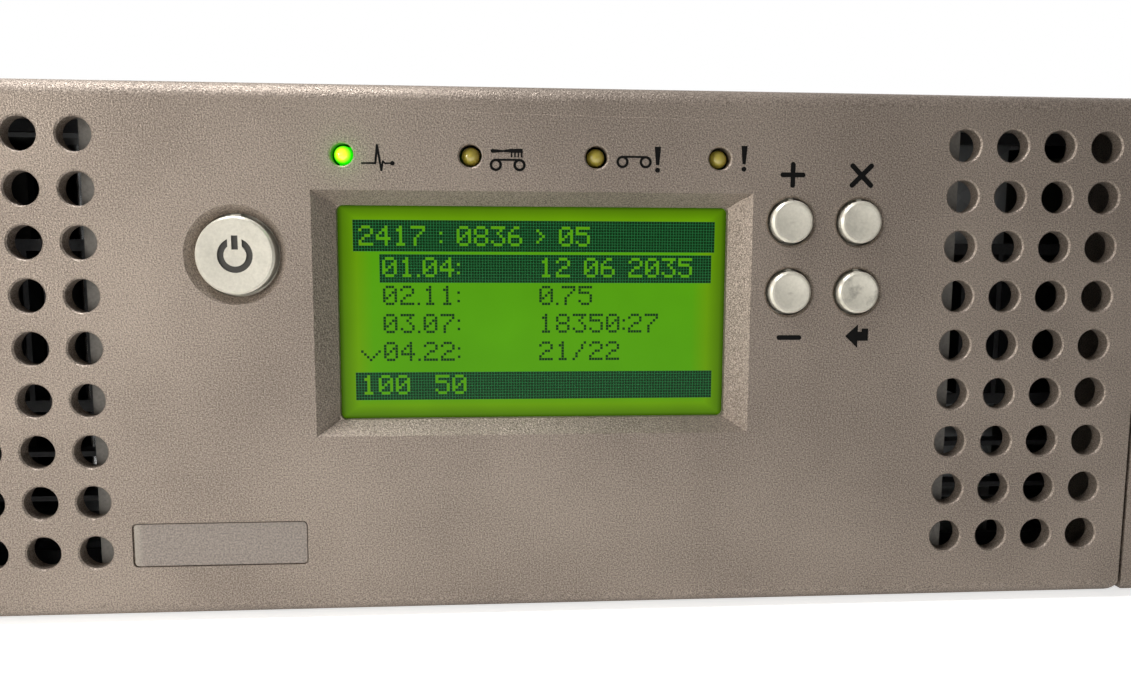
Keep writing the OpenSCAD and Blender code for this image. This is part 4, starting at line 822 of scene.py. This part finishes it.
# Contacts: gold-plated springs in the network port, pads on the service port's
# tongue, and two rows on the black tongue of the host port.
gold = turned("gold_plated_contact", "#b58a2e", "#d9b45a", 0.22)
low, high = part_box("network_port")
springs = [(low.x + (4.43 + 1.02 * i) * mm, high.y - 6.4 * mm, low.z + 9.9 * mm) for i in range(8)]
spots("network_contacts", springs, block_shape,
      {"Wide": 0.5 * mm, "Deep": 7 * mm, "High": 0.5 * mm}, gold, "chassis")
low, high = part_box("service_port")
pads = [(low.x + (3.0 + 2.4 * i) * mm, high.y - 4.6 * mm, low.z + 3.17 * mm) for i in range(4)]
spots("service_contacts", pads, block_shape,
      {"Wide": 1.2 * mm, "Deep": 6.4 * mm, "High": 0.06 * mm}, gold, "chassis")
low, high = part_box("host_port")
tongue_x, tongue_z = (low.x + high.x) / 2, (low.z + high.z) / 2
spots("host_tongue", [(tongue_x, high.y - 5.5 * mm, tongue_z)], block_shape,
      {"Wide": 19 * mm, "Deep": 8 * mm, "High": 2.0 * mm},
      moulded("black_connector_tongue", "#111112", "#1c1c1d", 0.4), "drive_sled")
pads = [(tongue_x + (0.68 * i - 8.84) * mm, high.y - 4.9 * mm, tongue_z + side * 1.02 * mm)
        for i in range(27) for side in (-1, 1)]
spots("host_contacts", pads, block_shape, {"Wide": 0.4 * mm, "Deep": 5 * mm, "High": 0.06 * mm},
      gold, "drive_sled")

# Thumbscrews: each head is knurled round its rim, and its cross recess is a painted shadow: dark
# bars laid on the head.
recess_shadow_paint = moulded("painted_cross_shadow", "#1a1a1b", "#2a2a2b", 0.5, 0.3)
knurl_steel = turned("knurled_screw_rim", "#8f908e", "#b2b3b0", 0.3)


def cross_shadow_bars(group, size):
    """Two crossed dark bars: a painted shadow in place of a cross recess."""
    both = put(group, "GeometryNodeJoinGeometry")
    for wide, high in (("Arm", "Slot"), ("Slot", "Arm")):
        sides = put(group, "ShaderNodeCombineXYZ", {0: size[wide], 1: size["Proud"], 2: size[high]})
        bar = put(group, "GeometryNodeMeshCube", {"Size": sides.outputs[0]})
        group.links.new(bar.outputs["Mesh"], both.inputs[0])
    return both.outputs[0]


def knurled_ring(group, size):
    """A ring of narrow teeth round an axis along Y."""
    ring = put(group, "GeometryNodeMeshCircle", {"Vertices": 30, "Radius": size["Radius"]})
    sides = put(group, "ShaderNodeCombineXYZ",
                {0: size["Tooth"], 1: size["Tooth"], 2: size["Long"]})
    tooth = put(group, "GeometryNodeMeshCube", {"Size": sides.outputs[0]})
    outward = put(group, "FunctionNodeAlignRotationToVector", {
        "Vector": put(group, "GeometryNodeInputPosition").outputs[0]}, axis="X")
    teeth = put(group, "GeometryNodeInstanceOnPoints",
                {"Points": ring.outputs[0], "Instance": tooth.outputs["Mesh"],
                 "Rotation": outward.outputs[0]})
    whole = put(group, "GeometryNodeRealizeInstances", {0: teeth.outputs[0]})
    lying = put(group, "GeometryNodeTransform", {"Geometry": whole.outputs[0],
                                                 "Rotation": (math.pi / 2, 0, 0)})
    return lying.outputs[0]


low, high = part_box("sled_thumbscrews")
sled_z, sled_end, sled_xs = (low.z + high.z) / 2, high.y, (low.x + 4.4 * mm, high.x - 4.4 * mm)
cover_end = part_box("bay_cover")[1].y
low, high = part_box("controller_bracket")
bracket_end, bracket_xs = high.y, (low.x + 4 * mm, high.x - 4 * mm)
heads = {"sled_screw": ("drive_sled", 4.4, 9, sled_end, sled_xs, sled_z),
         "cover_screw": ("chassis", 4.4, 8, cover_end, sled_xs, 66.5 * mm),
         "bracket_screw": ("chassis", 3.6, 6, bracket_end, bracket_xs, 32 * mm)}
for name, (body, radius, long, end, xs, z) in heads.items():
    # Each head's cross recess is painted shadow: dark bars just proud of the head.
    spots(name + "_recess", [(x, end, z) for x in xs], cross_shadow_bars,
          {"Arm": radius * mm, "Slot": 0.9 * mm, "Proud": 0.06 * mm}, recess_shadow_paint, body)
    spots(name + "_knurl", [(x, end - (long / 2 - 0.4) * mm, z) for x in xs], knurled_ring,
          {"Radius": radius * mm, "Tooth": 0.5 * mm, "Long": (long - 2.4) * mm}, knurl_steel, body)
